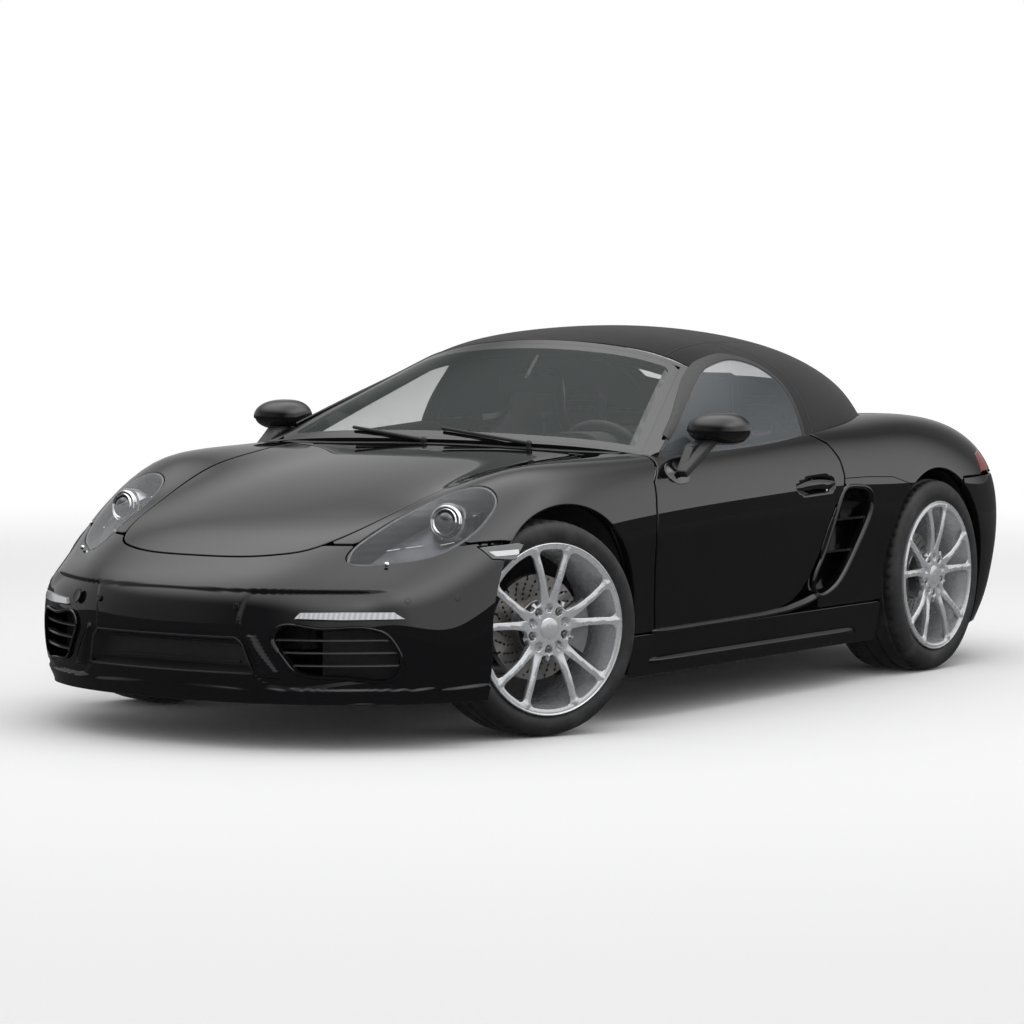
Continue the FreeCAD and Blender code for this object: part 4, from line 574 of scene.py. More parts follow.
def pressed(name, skin, span, cell, keep, body, material, depth=0.012, edge=0.003, place=AS_DRAWN, closed=False):
    """A panel: the skin over a grid of (u, v), kept where keep(p) is positive, its edge rolled over
    by a quarter round and its back a depth behind. Cells that the outline crosses are cut where
    the field is zero, found along each grid line by three false-position steps."""
    us, vs = skin.ticks(span, cell)
    nu = len(us)
    nv = len(vs)
    u, v = [g.ravel() for g in np.meshgrid(us, vs, indexing="ij")]

    def field(a, b):
        return keep(skin.plain(a, b)[0]) - edge

    f = field(u, v)
    f[(u <= us[0]) | (u >= us[-1])] = -1e-4
    grid = np.arange(nu * nv).reshape(nu, nv)
    if closed:
        grid[:, -1] = grid[:, 0]
    else:
        f[(v <= vs[0]) | (v >= vs[-1])] = -1e-4
    a, b, c, d = grid[:-1, :-1].ravel(), grid[1:, :-1].ravel(), grid[1:, 1:].ravel(), grid[:-1, 1:].ravel()
    tri = np.concatenate([np.stack([a, c, b], 1), np.stack([a, d, c], 1)])
    if skin.outward < 0:
        tri = tri[:, ::-1]
    sign = f > 0
    count = sign[tri].sum(1)
    whole = tri[count == 3]

    def turned(rows, pick):
        """Rows rotated so that their one odd corner comes first."""
        first = np.argmax(sign[rows] == pick, axis=1)
        take = (first[:, None] + np.arange(3)) % 3
        return np.take_along_axis(rows, take, 1)

    one = turned(tri[count == 1], True)
    two = turned(tri[count == 2], False)
    edges = np.concatenate([one[:, [0, 1]], one[:, [0, 2]], two[:, [0, 1]], two[:, [0, 2]]])
    keys, back = np.unique(np.sort(edges, 1), axis=0, return_inverse=True)
    back = back.ravel() + nu * nv
    lo = np.where(sign[keys[:, 0]], keys[:, 0], keys[:, 1])
    hi = np.where(sign[keys[:, 0]], keys[:, 1], keys[:, 0])
    t0 = np.zeros(len(keys))
    t1 = np.ones(len(keys))
    f0 = f[lo]
    f1 = f[hi]
    way = v[hi] - v[lo]
    if closed:
        way = (way + 0.5) % 1.0 - 0.5
    for _ in range(3):
        t = t0 + (t1 - t0) * np.clip(f0 / (f0 - f1), 0.02, 0.98)
        ft = field(u[lo] + (u[hi] - u[lo]) * t, v[lo] + way * t)
        on = ft > 0
        t0, f0 = np.where(on, t, t0), np.where(on, ft, f0)
        t1, f1 = np.where(on, t1, t), np.where(on, f1, ft)
    t = t0 + (t1 - t0) * np.clip(f0 / (f0 - f1), 0.0, 1.0)
    eu = u[lo] + (u[hi] - u[lo]) * t
    ev = v[lo] + way * t
    k1 = len(one)
    k2 = len(two)
    o1, o2 = back[:k1], back[k1:2 * k1]
    w1, w2 = back[2 * k1:2 * k1 + k2], back[2 * k1 + k2:]
    sheet = np.concatenate([whole, np.stack([one[:, 0], o1, o2], 1), np.stack([w1, two[:, 1], two[:, 2]], 1),
                            np.stack([w1, two[:, 2], w2], 1)])
    rim = np.concatenate([np.stack([o1, o2], 1), np.stack([w2, w1], 1)])
    used, sheet = np.unique(sheet.ravel(), return_inverse=True)
    sheet = sheet.reshape(-1, 3)
    renumber = np.full(nu * nv + len(keys), -1)
    renumber[used] = np.arange(len(used))
    au = np.concatenate([u, eu])[used]
    av = np.concatenate([v, ev])[used]
    p = skin.point(au, av)
    n = skin.normal(au, av)
    rim = renumber[rim]
    edge_ids, rim = np.unique(rim.ravel(), return_inverse=True)
    rim = rim.reshape(-1, 2)
    bu, bv = au[edge_ids], av[edge_ids]
    pu, pv = skin.tangents(bu, bv)
    small = 4e-4
    fu = (field(bu + small, bv) - field(bu - small, bv)) / (2 * small)
    fv = (field(bu, bv + small) - field(bu, bv - small)) / (2 * small)
    guu, guv, gvv = (pu * pu).sum(1), (pu * pv).sum(1), (pv * pv).sum(1)
    det = guu * gvv - guv ** 2
    out = -unit(pu * ((gvv * fu - guv * fv) / det)[:, None] + pv * ((guu * fv - guv * fu) / det)[:, None])
    np_, nn = p[edge_ids], n[edge_ids]
    m = len(edge_ids)
    base = len(used)
    rings = [edge_ids]
    ring_normals = [nn]
    points = [p]
    for away, down in ROLL[1:]:
        rings.append(base + np.arange(m))
        points.append(np_ + out * edge * away - nn * edge * down)
        ring_normals.append(unit(nn * (1 - down) + out * away))
        base += m
    rings.append(base + np.arange(m))
    points.append(np_ + out * edge - nn * depth)
    ring_normals.append(out)
    base += m
    under = base
    points.append(p - n * depth)
    faces = [sheet]
    normals = [n[sheet].reshape(-1, 3)]
    i, j = rim[:, 0], rim[:, 1]
    for k in range(len(rings) - 1):
        faces.append(np.stack([rings[k][j], rings[k][i], rings[k + 1][i], rings[k + 1][j]], 1))
        lower = ring_normals[k + 1]
        upper = ring_normals[k] if k < len(ROLL) - 1 else out
        normals.append(np.stack([upper[j], upper[i], lower[i], lower[j]], 1).reshape(-1, 3))
    last = rings[-1]
    faces.append(np.stack([last[j], last[i], under + edge_ids[i], under + edge_ids[j]], 1))
    normals.append(np.stack([-nn[j], -nn[i], -nn[i], -nn[j]], 1).reshape(-1, 3))
    faces.append(under + sheet[:, ::-1])
    normals.append(-n[sheet[:, ::-1]].reshape(-1, 3))
    points = np.concatenate(points)
    points, faces, normals = set_in(place, points, faces, normals)
    return mesh_piece(name, points, faces, body, material, normals)


def full(half):
    """Plan outline on both sides of the centre line from its left half."""
    return half + [(x, -y) for x, y in reversed(half) if y > 0]


LID_HALF = [(2008, 0), (2004, 110), (1990, 200), (1960, 285), (1922, 345), (1865, 385), (1755, 425), (1588, 458),
            (1400, 492), (1200, 525), (950, 562), (800, 585), (722, 572), (690, 500), (677, 330), (672, 160)]
LAMP = [(1886, 482), (1840, 468), (1760, 475), (1670, 488), (1580, 508), (1490, 537), (1428, 578), (1398, 632),
        (1403, 689), (1430, 724), (1483, 738), (1553, 735), (1633, 712), (1711, 672), (1780, 614), (1845, 550),
        (1880, 508)]
BUMPER_SEAM = [(1490, 1000), (1490, 822), (1560, 775), (1640, 712), (1720, 655), (1800, 592), (1892, 484),
               (1915, 420), (1915, 300), (1980, 0), (1980, -600), (2500, -600), (2500, 1000)]
NOSE_LOW = [(1380, 1000), (1380, 600), (1980, 0), (1980, -600), (2500, -600), (2500, 1000)]
DOOR = [(606, 1000), (606, 850), (640, 812), (700, 765), (722, 690), (730, 600), (730, 500), (718, 380),
        (703, 284), (480, 284), (200, 285), (-12, 294), (-110, 304), (-194, 321), (-253, 351), (-309, 397),
        (-361, 467), (-407, 560), (-460, 635), (-520, 685), (-533, 735), (-524, 790), (-490, 843), (-428, 876),
        (-400, 892), (-400, 1000)]
SIDE_INTAKE = [(-535, 688), (-596, 696), (-672, 690), (-718, 670), (-727, 636), (-699, 568), (-636, 483),
               (-583, 417), (-517, 359), (-440, 330), (-372, 334), (-348, 362), (-390, 449), (-432, 521),
               (-470, 596), (-500, 650)]
REAR_LID_HALF = [(-1552, 0), (-1553, 300), (-1562, 470), (-1600, 545), (-1700, 560), (-1850, 550), (-2000, 530),
                 (-2400, 520)]
DECK = [(-1546, -300), (-1545, 300), (-1540, 520), (-1480, 600), (-1330, 640), (-1180, 640), (-1120, 600),
        (-1200, 520), (-1310, 300), (-1310, -300), (-1200, -520), (-1120, -600), (-1180, -640), (-1330, -640),
        (-1480, -600), (-1540, -520)]
TAIL_LAMP = [(545, 716), (556, 788), (640, 800), (740, 792), (830, 768), (905, 742), (905, 708), (700, 706)]
INTAKE_FRONT = [(374, 350), (382, 367), (500, 372), (630, 370), (656, 356), (674, 327), (688, 262), (676, 226),
                (560, 222), (462, 230), (430, 246), (400, 290)]
PLATE_FRONT = [(-262, 340), (262, 340), (284, 322), (312, 232), (-312, 232), (-284, 322)]
RUNNING_LAMP = [(437, 402), (449, 419), (560, 421), (668, 420), (694, 400), (560, 399)]
CABIN_TOP = [(640, -742), (640, 742), (-700, 742), (-900, 712), (-1050, 660), (-1120, 600), (-1200, 520),
             (-1310, 300), (-1310, -300), (-1200, -520), (-1120, -600), (-1050, -660), (-900, -712), (-700, -742)]
MARKER = [(1452, 606), (1470, 612), (1592, 602), (1574, 566), (1500, 560)]
HANDLE = [(-189, 706), (-240, 733), (-330, 746), (-420, 742), (-462, 722), (-450, 694), (-380, 678), (-290, 675),
          (-215, 687)]
INTAKE_BAY = [(330, 560), (700, 560), (752, 420), (764, 301), (760, 236), (716, 212), (628, 204), (330, 204)]
VANE = [(296, 352), (322, 350), (352, 300), (392, 240), (402, 214), (352, 212), (326, 250), (304, 310)]
NOSE_CREASE = 0.487
LIP_TOP = 0.190
PLATE_REAR = [(-262, 560), (262, 560), (262, 440), (-262, 440)]
PIPE_HOLE = [(-112, 212), (112, 212), (112, 312), (-112, 312)]
LID_REACH = [(0, 82), (170, 79), (350, 72), (436, 67), (475, 62), (515, 56), (545, 49), (566, 41), (590, 34)]
REAR_LID_REACH = [(0, 74), (300, 73), (474, 67), (511, 52), (530, 46), (549, 40), (554, 37)]
lid_ring = rounded(full(LID_HALF))
lamp_ring = rounded(LAMP)
intake_ring = rounded(INTAKE_FRONT)
side_ring = rounded(SIDE_INTAKE)
PLAN = [0, 1]
SIDE = [0, 2]
FRONT = [1, 2]
GAP = 0.005
SEAM = 0.0022
DOOR_GAP = 0.0075
FRONT_ARCH = (1.227, 0.336, 0.382)
REAR_ARCH = (-1.223, 0.347, 0.388)


def folded(p):
    """The points with the right side laid on the left."""
    return np.stack([p[:, 0], np.abs(p[:, 1]), p[:, 2]], 1)


def clear_of_wheel(p, arch):
    """Distance outside a wheel opening: round above the axle, straight below it."""
    x, z, radius = arch
    over = np.hypot(p[:, 0] - x, np.maximum(p[:, 2] - z, 0.0)) - radius
    return over


def nose_plan(p):
    q = folded(p)
    return most(within(q, PLAN, BUMPER_SEAM), least(within(q, PLAN, NOSE_LOW), 0.608 - p[:, 2]))


def lid_plan(p):
    return least(within(p, PLAN, lid_ring), p[:, 2] - 0.45)


def lamp_plan(p):
    return least(within(folded(p), PLAN, lamp_ring), p[:, 2] - 0.38)


def door_side(p):
    return within(folded(p), SIDE, DOOR)


def rear_lid_plan(p):
    return least(within(p, PLAN, full(REAR_LID_HALF)), p[:, 2] - 0.702)


def tail_lamp_back(p):
    return least(within(folded(p), FRONT, TAIL_LAMP), -1.640 - p[:, 0])


def gloss_black(tree):
    ripple = grain(tree, 260.0, 3.0)
    return {"Base Color": mixed(tree, grain(tree, 3.0), (0.0035, 0.0035, 0.004), (0.005, 0.005, 0.006)),
            "Roughness": grain(tree, 40.0) * 0.04 + 0.10,
            "Normal": bumped(tree, ripple, 0.02, 0.0004)}


paint = finish("paint_gloss_black", gloss_black, Specular_IOR_Level=0.0, Coat_Weight=1.0, Coat_Roughness=0.015,
               Coat_IOR=1.5)


def jointed(tree):
    """The same paint, its clear coat gone in the thin joint where the told field is zero."""
    clear = field_of(tree, 0).size().rise(0.0008, 0.0022)
    return {**gloss_black(tree), "Coat Weight": clear}


paint_jointed = finish("paint_jointed", jointed, Specular_IOR_Level=0.0, Coat_Roughness=0.015, Coat_IOR=1.5)
body_skin = Skin(BODY_RIBS)
handle_ring = rounded(HANDLE, 80)
bay_ring = rounded(INTAKE_BAY, 100)


def marker_side(p):
    return least(within(p, SIDE, MARKER), p[:, 1] - 0.6)


def nose_relief(p):
    """Under a crease across the nose the skin steps in, and once more in the bay round each
    intake; a vane stands out beside the plate's recess and a lip along the lower edge."""
    q = folded(p)
    ahead = step_up(p[:, 0], 1.5, 1.6)
    under = step_up(NOSE_CREASE - p[:, 2], 0.0, 0.010) * step_up(p[:, 0], 1.86, 1.96)
    bay = step_up(within(q, FRONT, bay_ring), 0.0, 0.016) * under
    vane = step_up(within(q, FRONT, VANE), -0.004, 0.018)
    lip = step_up(LIP_TOP - p[:, 2], 0.0, 0.008)
    return (0.011 * vane + 0.007 * lip) * ahead - 0.005 * under - 0.006 * bay


def door_relief(p):
    """The finger recess behind the handle."""
    return -0.020 * step_up(within(p, SIDE, handle_ring), 0.0, 0.022)


nose_skin = Skin(BODY_RIBS, relief=nose_relief)
door_plate = Skin(BODY_RIBS, relief=door_relief)
WHOLE = (0.0, 1.0, 0.0, 1.0)
LEFT = (0.0, 1.0, 0.0, 0.5)


panels = {}


def both(name, skin, span, cell, keep, bodies, material, node_name, **more):
    """The left panel and its mirrored right one."""
    for number, (side, place) in enumerate((("left", AS_DRAWN), ("right", MIRRORED))):
        body = bodies if isinstance(bodies, str) else bodies[number]
        made = pressed(f"{name}_{side}", skin, span, cell, keep, body, material, place=place, **more)
        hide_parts(f"{node_name}_{side}")
        panels[f"{name}_{side}"] = made


def hinge_room(p, x, z, reach):
    """Distance outside the room that a lid's hinged edge sweeps: round the hinge line (x, z),
    its radius falling with the distance from the middle as reach gives it."""
    y, radius = np.array(reach).T / 1000.0
    return most(np.hypot(p[:, 0] - x, p[:, 2] - z) - np.interp(p[:, 1], y, radius), p[:, 1] - y[-1])


def fender_keep(p):
    wiper_bay = least(p[:, 0] - 0.500, 0.662 - p[:, 0], 0.700 - p[:, 1], p[:, 2] - 0.700)
    return least(p[:, 0] - 0.560, p[:, 2] - 0.284, p[:, 1] - 0.05, -nose_plan(p) - SEAM, -lid_plan(p) - GAP,
                 -lamp_plan(p) - 0.002, -door_side(p) - DOOR_GAP, clear_of_wheel(p, FRONT_ARCH), -wiper_bay,
                 -marker_side(p) - 0.001, hinge_room(p, 0.735, 0.816, LID_REACH))


def quarter_seam(p):
    """The joint between the rear side's upper and lower skins, from the door to the arch."""
    height = np.interp(p[:, 0], (-1.010, -0.880, -0.700, -0.526), (0.687, 0.7175, 0.725, 0.726))
    return (p[:, 2] - height) * (1.0 + 400.0 * step_up(-p[:, 0], 1.02, 1.03))


def quarter_keep(p):
    bumper = least(-1.435 - p[:, 0], 0.695 - p[:, 2])
    return least(-0.380 - p[:, 0], p[:, 2] - 0.284, p[:, 1] - 0.05, -door_side(p) - DOOR_GAP, -bumper,
                 -least(within(p, PLAN, CABIN_TOP), p[:, 2] - 0.5), -within(p, PLAN, DECK) - GAP,
                 -rear_lid_plan(p) - GAP, -tail_lamp_back(p) - 0.002, clear_of_wheel(p, REAR_ARCH),
                 -within(p, SIDE, side_ring),
                 hinge_room(p, -1.612, 0.868, REAR_LID_REACH))


def door_keep(p):
    return least(door_side(p), p[:, 1] - 0.742)


def sill_keep(p):
    return least(p[:, 0] + 0.835, 0.845 - p[:, 0], 0.278 - p[:, 2], p[:, 1] - 0.736, p[:, 2] - 0.1401,
                 clear_of_wheel(p, FRONT_ARCH), clear_of_wheel(p, REAR_ARCH))


def lid_keep(p):
    return lid_plan(p)


def deck_keep(p):
    return least(within(p, PLAN, DECK), p[:, 2] - 0.6)


def bumper_keep(p):
    q = folded(p)
    return least(nose_plan(p), -lid_plan(p) - GAP, -lamp_plan(p) - 0.002, clear_of_wheel(p, FRONT_ARCH),
                 p[:, 2] - 0.1401, -within(q, FRONT, intake_ring), -within(q, FRONT, RUNNING_LAMP),
                 -within(p, FRONT, PLATE_FRONT), -marker_side(q) - 0.001)


def tail_keep(p):
    return least(-1.440 - p[:, 0], 0.690 - p[:, 2], clear_of_wheel(p, REAR_ARCH), p[:, 2] - 0.1401,
                 -least(within(p, FRONT, PLATE_REAR), -2.0 - p[:, 0]), -least(within(p, FRONT, PIPE_HOLE), -2.0 - p[:, 0]))


both("fender", body_skin, (0.5, 1.0, 0.0, 0.5), 0.022, fender_keep, "body", paint, "fender")
both("quarter", body_skin, (0.0, 0.55, 0.0, 0.5), 0.021, quarter_keep, "body", paint_jointed, "quarter", depth=0.025)
for side in ("left", "right"):
    told(panels["quarter_" + side], quarter_seam)
both("door_skin", door_plate, (0.3, 0.75, 0.0, 0.4), 0.0123, door_keep, ("door_left", "door_right"), paint, "door",
     depth=0.020)
both("sill", body_skin, (0.25, 0.75, 0.0, 0.2), 0.022, sill_keep, "body", paint, "sill")
for name, skin, cell, span, keep, body, depth in (
        ("front_lid", body_skin, 0.022, (0.5, 1.0, 0.2, 0.8), lid_keep, "front_lid", 0.018),
        ("rear_deck", body_skin, 0.022, (0.0, 0.5, 0.2, 0.8), deck_keep, "body", 0.018),
        ("rear_lid", body_skin, 0.022, (0.0, 0.4, 0.2, 0.8), rear_lid_plan, "rear_lid", 0.018),
        ("front_bumper", nose_skin, 0.0105, (0.6, 1.0, 0.0, 1.0), bumper_keep, "body", 0.008),
        ("rear_bumper", body_skin, 0.024, (0.0, 0.4, 0.0, 1.0), tail_keep, "body", 0.008)):
    made = pressed(name + "_skin", skin, span, cell, keep, body, paint, depth=depth)
    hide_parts(name)


# ---- wheels ----
# Cast aluminium, five pairs of slim spokes that run out to points on the rim flange, painted
# silver under lacquer; five bolts in deep pockets with five like pockets between them, and a
# bare round cap. Each wheel is drawn axle outward along +Y about the middle of its tyre.
class Dish:
    """Surface of revolution about Y as a polar sheet: u runs from the inner to the outer radius,
    v once round; height(radius, angle) is the place along the axle."""

    outward = 1.0

    def __init__(self, inner, outer, height):
        self.inner = inner
        self.outer = outer
        self.height = height

    def point(self, u, v):
        r = self.inner + (self.outer - self.inner) * u
        a = 2 * np.pi * v
        return np.stack([r * np.cos(a), self.height(r, a), r * np.sin(a)], 1)

    def plain(self, u, v):
        return self.point(u, v), None

    def tangents(self, u, v, step=2e-4):
        pu = (self.point(u + step, v) - self.point(u - step, v)) / (2 * step)
        pv = (self.point(u, v + step) - self.point(u, v - step)) / (2 * step)
        return pu, pv

    def normal(self, u, v):
        pu, pv = self.tangents(u, v)
        return unit(np.cross(pv, pu))

    def ticks(self, span, cell):
        rings = int((self.outer - self.inner) / cell) + 2
        steps = int(2 * np.pi * self.outer / cell) // 10 * 10 + 1
        return np.linspace(0.0, 1.0, rings), np.linspace(0.0, 1.0, steps)


def lathe(name, profile, count, body, material, place=AS_DRAWN, wave=None):
    """A closed profile of (along axle, radius) turned about Y; wave(points, angle) may move
    the turned points. Its normals are those of the smooth grid, split where the profile bends
    by more than the auto-smooth limit."""
    y, r = np.array(profile, float).T
    a = np.linspace(0.0, 2 * np.pi, count, endpoint=False)
    p = np.stack([np.outer(np.cos(a), r), np.broadcast_to(y, (count, len(y))), np.outer(np.sin(a), r)], 2)
    if wave is not None:
        p = wave(p, a)
    grid = np.arange(count * len(y)).reshape(count, len(y))
    across = np.roll(grid, -1, 0)
    faces = np.stack([grid, across, np.roll(across, -1, 1), np.roll(grid, -1, 1)], 2).reshape(-1, 4)
    points, faces, _ = set_in(place, p.reshape(-1, 3), [faces], [np.zeros((0, 3))])
    piece = mesh_piece(name, points, faces, body, material)
    piece.data.set_sharp_from_angle(angle=math.radians(32))
    return piece


def along(points, steps):
    """Open smooth profile through the points: uniform Catmull-Rom, steps to a span."""
    p = np.array(points, float)
    p = np.concatenate([2 * p[:1] - p[1:2], p, 2 * p[-1:] - p[-2:-1]])
    t = np.linspace(0.0, 1.0, steps, endpoint=False)[None, :, None]
    a, b, c, d = p[:-3, None], p[1:-2, None], p[2:-1, None], p[3:, None]
    q = 0.5 * (2 * b + (c - a) * t + (2 * a - 5 * b + 4 * c - d) * t ** 2 + (3 * b - a - 3 * c + d) * t ** 3)
    return np.concatenate([q.reshape(-1, p.shape[1]), p[-2:-1]])


STEER_AT_REST = math.radians(-22.0)
FRONT_AXLE = 1.252
REAR_AXLE = -1.223
KINGPIN = 0.690


def wheel_place(front, left):
    """Turn and shift that carry a wheel from its own frame to its axle end."""
    x, y, z = (FRONT_AXLE, 0.757, 0.336) if front else (REAR_AXLE, 0.766, 0.347)
    matrix = np.eye(3) if left else np.diag([1.0, -1.0, 1.0])
    shift = np.array([x, y if left else -y, z])
    if front:
        c, s = math.cos(STEER_AT_REST), math.sin(STEER_AT_REST)
        turn = np.array([[c, -s, 0], [s, c, 0], [0, 0, 1.0]])
        pin = np.array([FRONT_AXLE, KINGPIN if left else -KINGPIN, 0])
        matrix = turn @ matrix
        shift = turn @ (shift - pin) + pin
    return matrix, shift


def cast_silver(tree):
    fine = grain(tree, 900.0, 2.0)
    return {"Base Color": mixed(tree, grain(tree, 12.0), (0.50, 0.51, 0.53), (0.58, 0.59, 0.61)),
            "Roughness": grain(tree, 25.0) * 0.10 + 0.22, "Normal": bumped(tree, fine, 0.05, 0.0002)}


def turned_steel(tree):
    return {"Base Color": mixed(tree, grain(tree, 30.0), (0.30, 0.29, 0.28), (0.42, 0.41, 0.40)),
            "Roughness": grain(tree, 120.0) * 0.15 + 0.30}


def tyre_rubber(tree):
    dust = grain(tree, 14.0, 4.0)
    return {"Base Color": mixed(tree, dust.rise(0.45, 0.75), (0.012, 0.012, 0.013), (0.030, 0.030, 0.031)),
            "Roughness": grain(tree, 70.0) * 0.2 + 0.55, "Normal": bumped(tree, grain(tree, 500.0), 0.15, 0.0004)}


def pocket_dark(tree):
    return {"Base Color": mixed(tree, grain(tree, 80.0), (0.010, 0.010, 0.011), (0.03, 0.03, 0.03))}


silver = finish("wheel_silver", cast_silver, Metallic=0.45, Coat_Weight=0.6, Coat_Roughness=0.08)
steel = finish("disc_steel", turned_steel, Metallic=1.0)
rubber = finish("tyre_rubber", tyre_rubber)
pocket = finish("pocket_dark", pocket_dark, Roughness=0.4)
bolt_steel = finish("bolt_steel", turned_steel, Metallic=1.0)

RIM_OUTER = 0.268
FLANGE_INNER = 0.246
HUB_RADIUS = 0.084
BOLT_CIRCLE = 0.065
POCKET_RADIUS = 0.0125
CAP_RADIUS = 0.037
SPOKE_LEAN_HUB = math.radians(8.0)
SPOKE_LEAN_RIM = math.radians(14.5)


def turned_angle(p):
    return np.arctan2(p[:, 2], p[:, 0])


def from_pair(angle):
    """Angle from the middle of the nearest of the five spoke pairs, the first one upright."""
    fifth = 2 * np.pi / 5
    return (angle - np.pi / 2 + fifth / 2) % fifth - fifth / 2


def spoke_axis(r):
    """Lean of a spoke from the middle of its pair: grows with the radius, faster near the hub."""
    t = np.clip((r - 0.060) / 0.190, 0.0, 1.0)
    return SPOKE_LEAN_HUB + (SPOKE_LEAN_RIM - SPOKE_LEAN_HUB) * t ** 0.8


def spoke_off(p):
    """Distance sideways from the nearest spoke's crest."""
    r = np.hypot(p[:, 0], p[:, 2])
    off = np.abs(from_pair(turned_angle(p))) - spoke_axis(r)
    return off * r, r


def spoke_keep(p):
    off, r = spoke_off(p)
    half = 0.0135 + 0.0035 * step_up(r, 0.16, 0.07) + 0.006 * step_up(r, 0.225, 0.250)
    arms = half - np.abs(off)
    hub = HUB_RADIUS - r
    flange = r - 0.2475
    k = 0.016
    top = np.maximum(arms, hub)
    fillet = np.maximum(k - np.abs(arms - hub), 0.0) ** 2 / (4 * k)
    rim = np.maximum(k - np.abs(top + fillet - flange), 0.0) ** 2 / (4 * k)
    return least(np.maximum(top + fillet, flange) + rim, 0.2625 - r, r - CAP_RADIUS + 0.006)


def pocket_distance(x, z):
    """Distance to the centre of the nearest of the ten pockets."""
    a = np.arctan2(z, x)
    tenth = 2 * np.pi / 10
    near = (a - math.radians(54) + tenth / 2) % tenth - tenth / 2
    r = np.hypot(x, z)
    return np.sqrt(r ** 2 + BOLT_CIRCLE ** 2 - 2 * r * BOLT_CIRCLE * np.cos(near))


def face_height(face):
    """Face of the casting: shallow cone from hub to flange, crests on the spokes, the pockets
    sunk by a smooth step round each centre."""
    def height(r, a):
        x = r * np.cos(a)
        z = r * np.sin(a)
        off = (np.abs(from_pair(a)) - spoke_axis(r)) * r
        cone = face - 0.013 + 0.010 * step_up(r, 0.075, 0.19)
        crest = 0.006 * step_up(r, 0.085, 0.13) * (1 - np.minimum(np.abs(off) / 0.016, 1.0))
        lip = 0.0035 * step_up(r, 0.235, 0.250)
        bowl = -0.016 * (1 - step_up(pocket_distance(x, z), POCKET_RADIUS - 0.0015, POCKET_RADIUS + 0.0025))
        ring = -0.002 * (1 - step_up(np.abs(r - CAP_RADIUS - 0.001), 0.0, 0.0018))
        return cone + crest + lip + bowl + ring
    return height


def tread(radius, half):
    """Moves the turned tyre's points: long grooves round it and cross cuts that lean on the
    shoulders, sunk along the radius."""
    def wave(p, a):
        y = p[..., 1]
        r = np.hypot(p[..., 0], p[..., 2])
        crown = step_up(r, radius - 0.030, radius - 0.010)
        sunk = np.zeros_like(r)
        for place in (-0.42, -0.14, 0.14, 0.42):
            sunk = np.maximum(sunk, 1 - step_up(np.abs(y - place * 2 * half * 0.80), 0.0035, 0.0060))
        lean = a[:, None] + np.sign(y) * (np.abs(y) / half) ** 2 * 0.05
        cut = np.abs((lean * 56 / (2 * np.pi)) % 1.0 - 0.5)
        shoulder = step_up(np.abs(y), 0.50 * half, 0.56 * half)
        cross = (1 - step_up(cut, 0.035, 0.075)) * shoulder
        fine = np.abs((lean * 112 / (2 * np.pi)) % 1.0 - 0.5)
        block = (1 - step_up(fine, 0.03, 0.08)) * 0.45 * (1 - shoulder) * step_up(np.abs(y), 0.17 * half, 0.20 * half)
        depth = 0.0065 * np.maximum(sunk, np.maximum(cross, block)) * crown
        k = (r - depth) / r
        return np.stack([p[..., 0] * k, y, p[..., 2] * k], 2)
    return wave


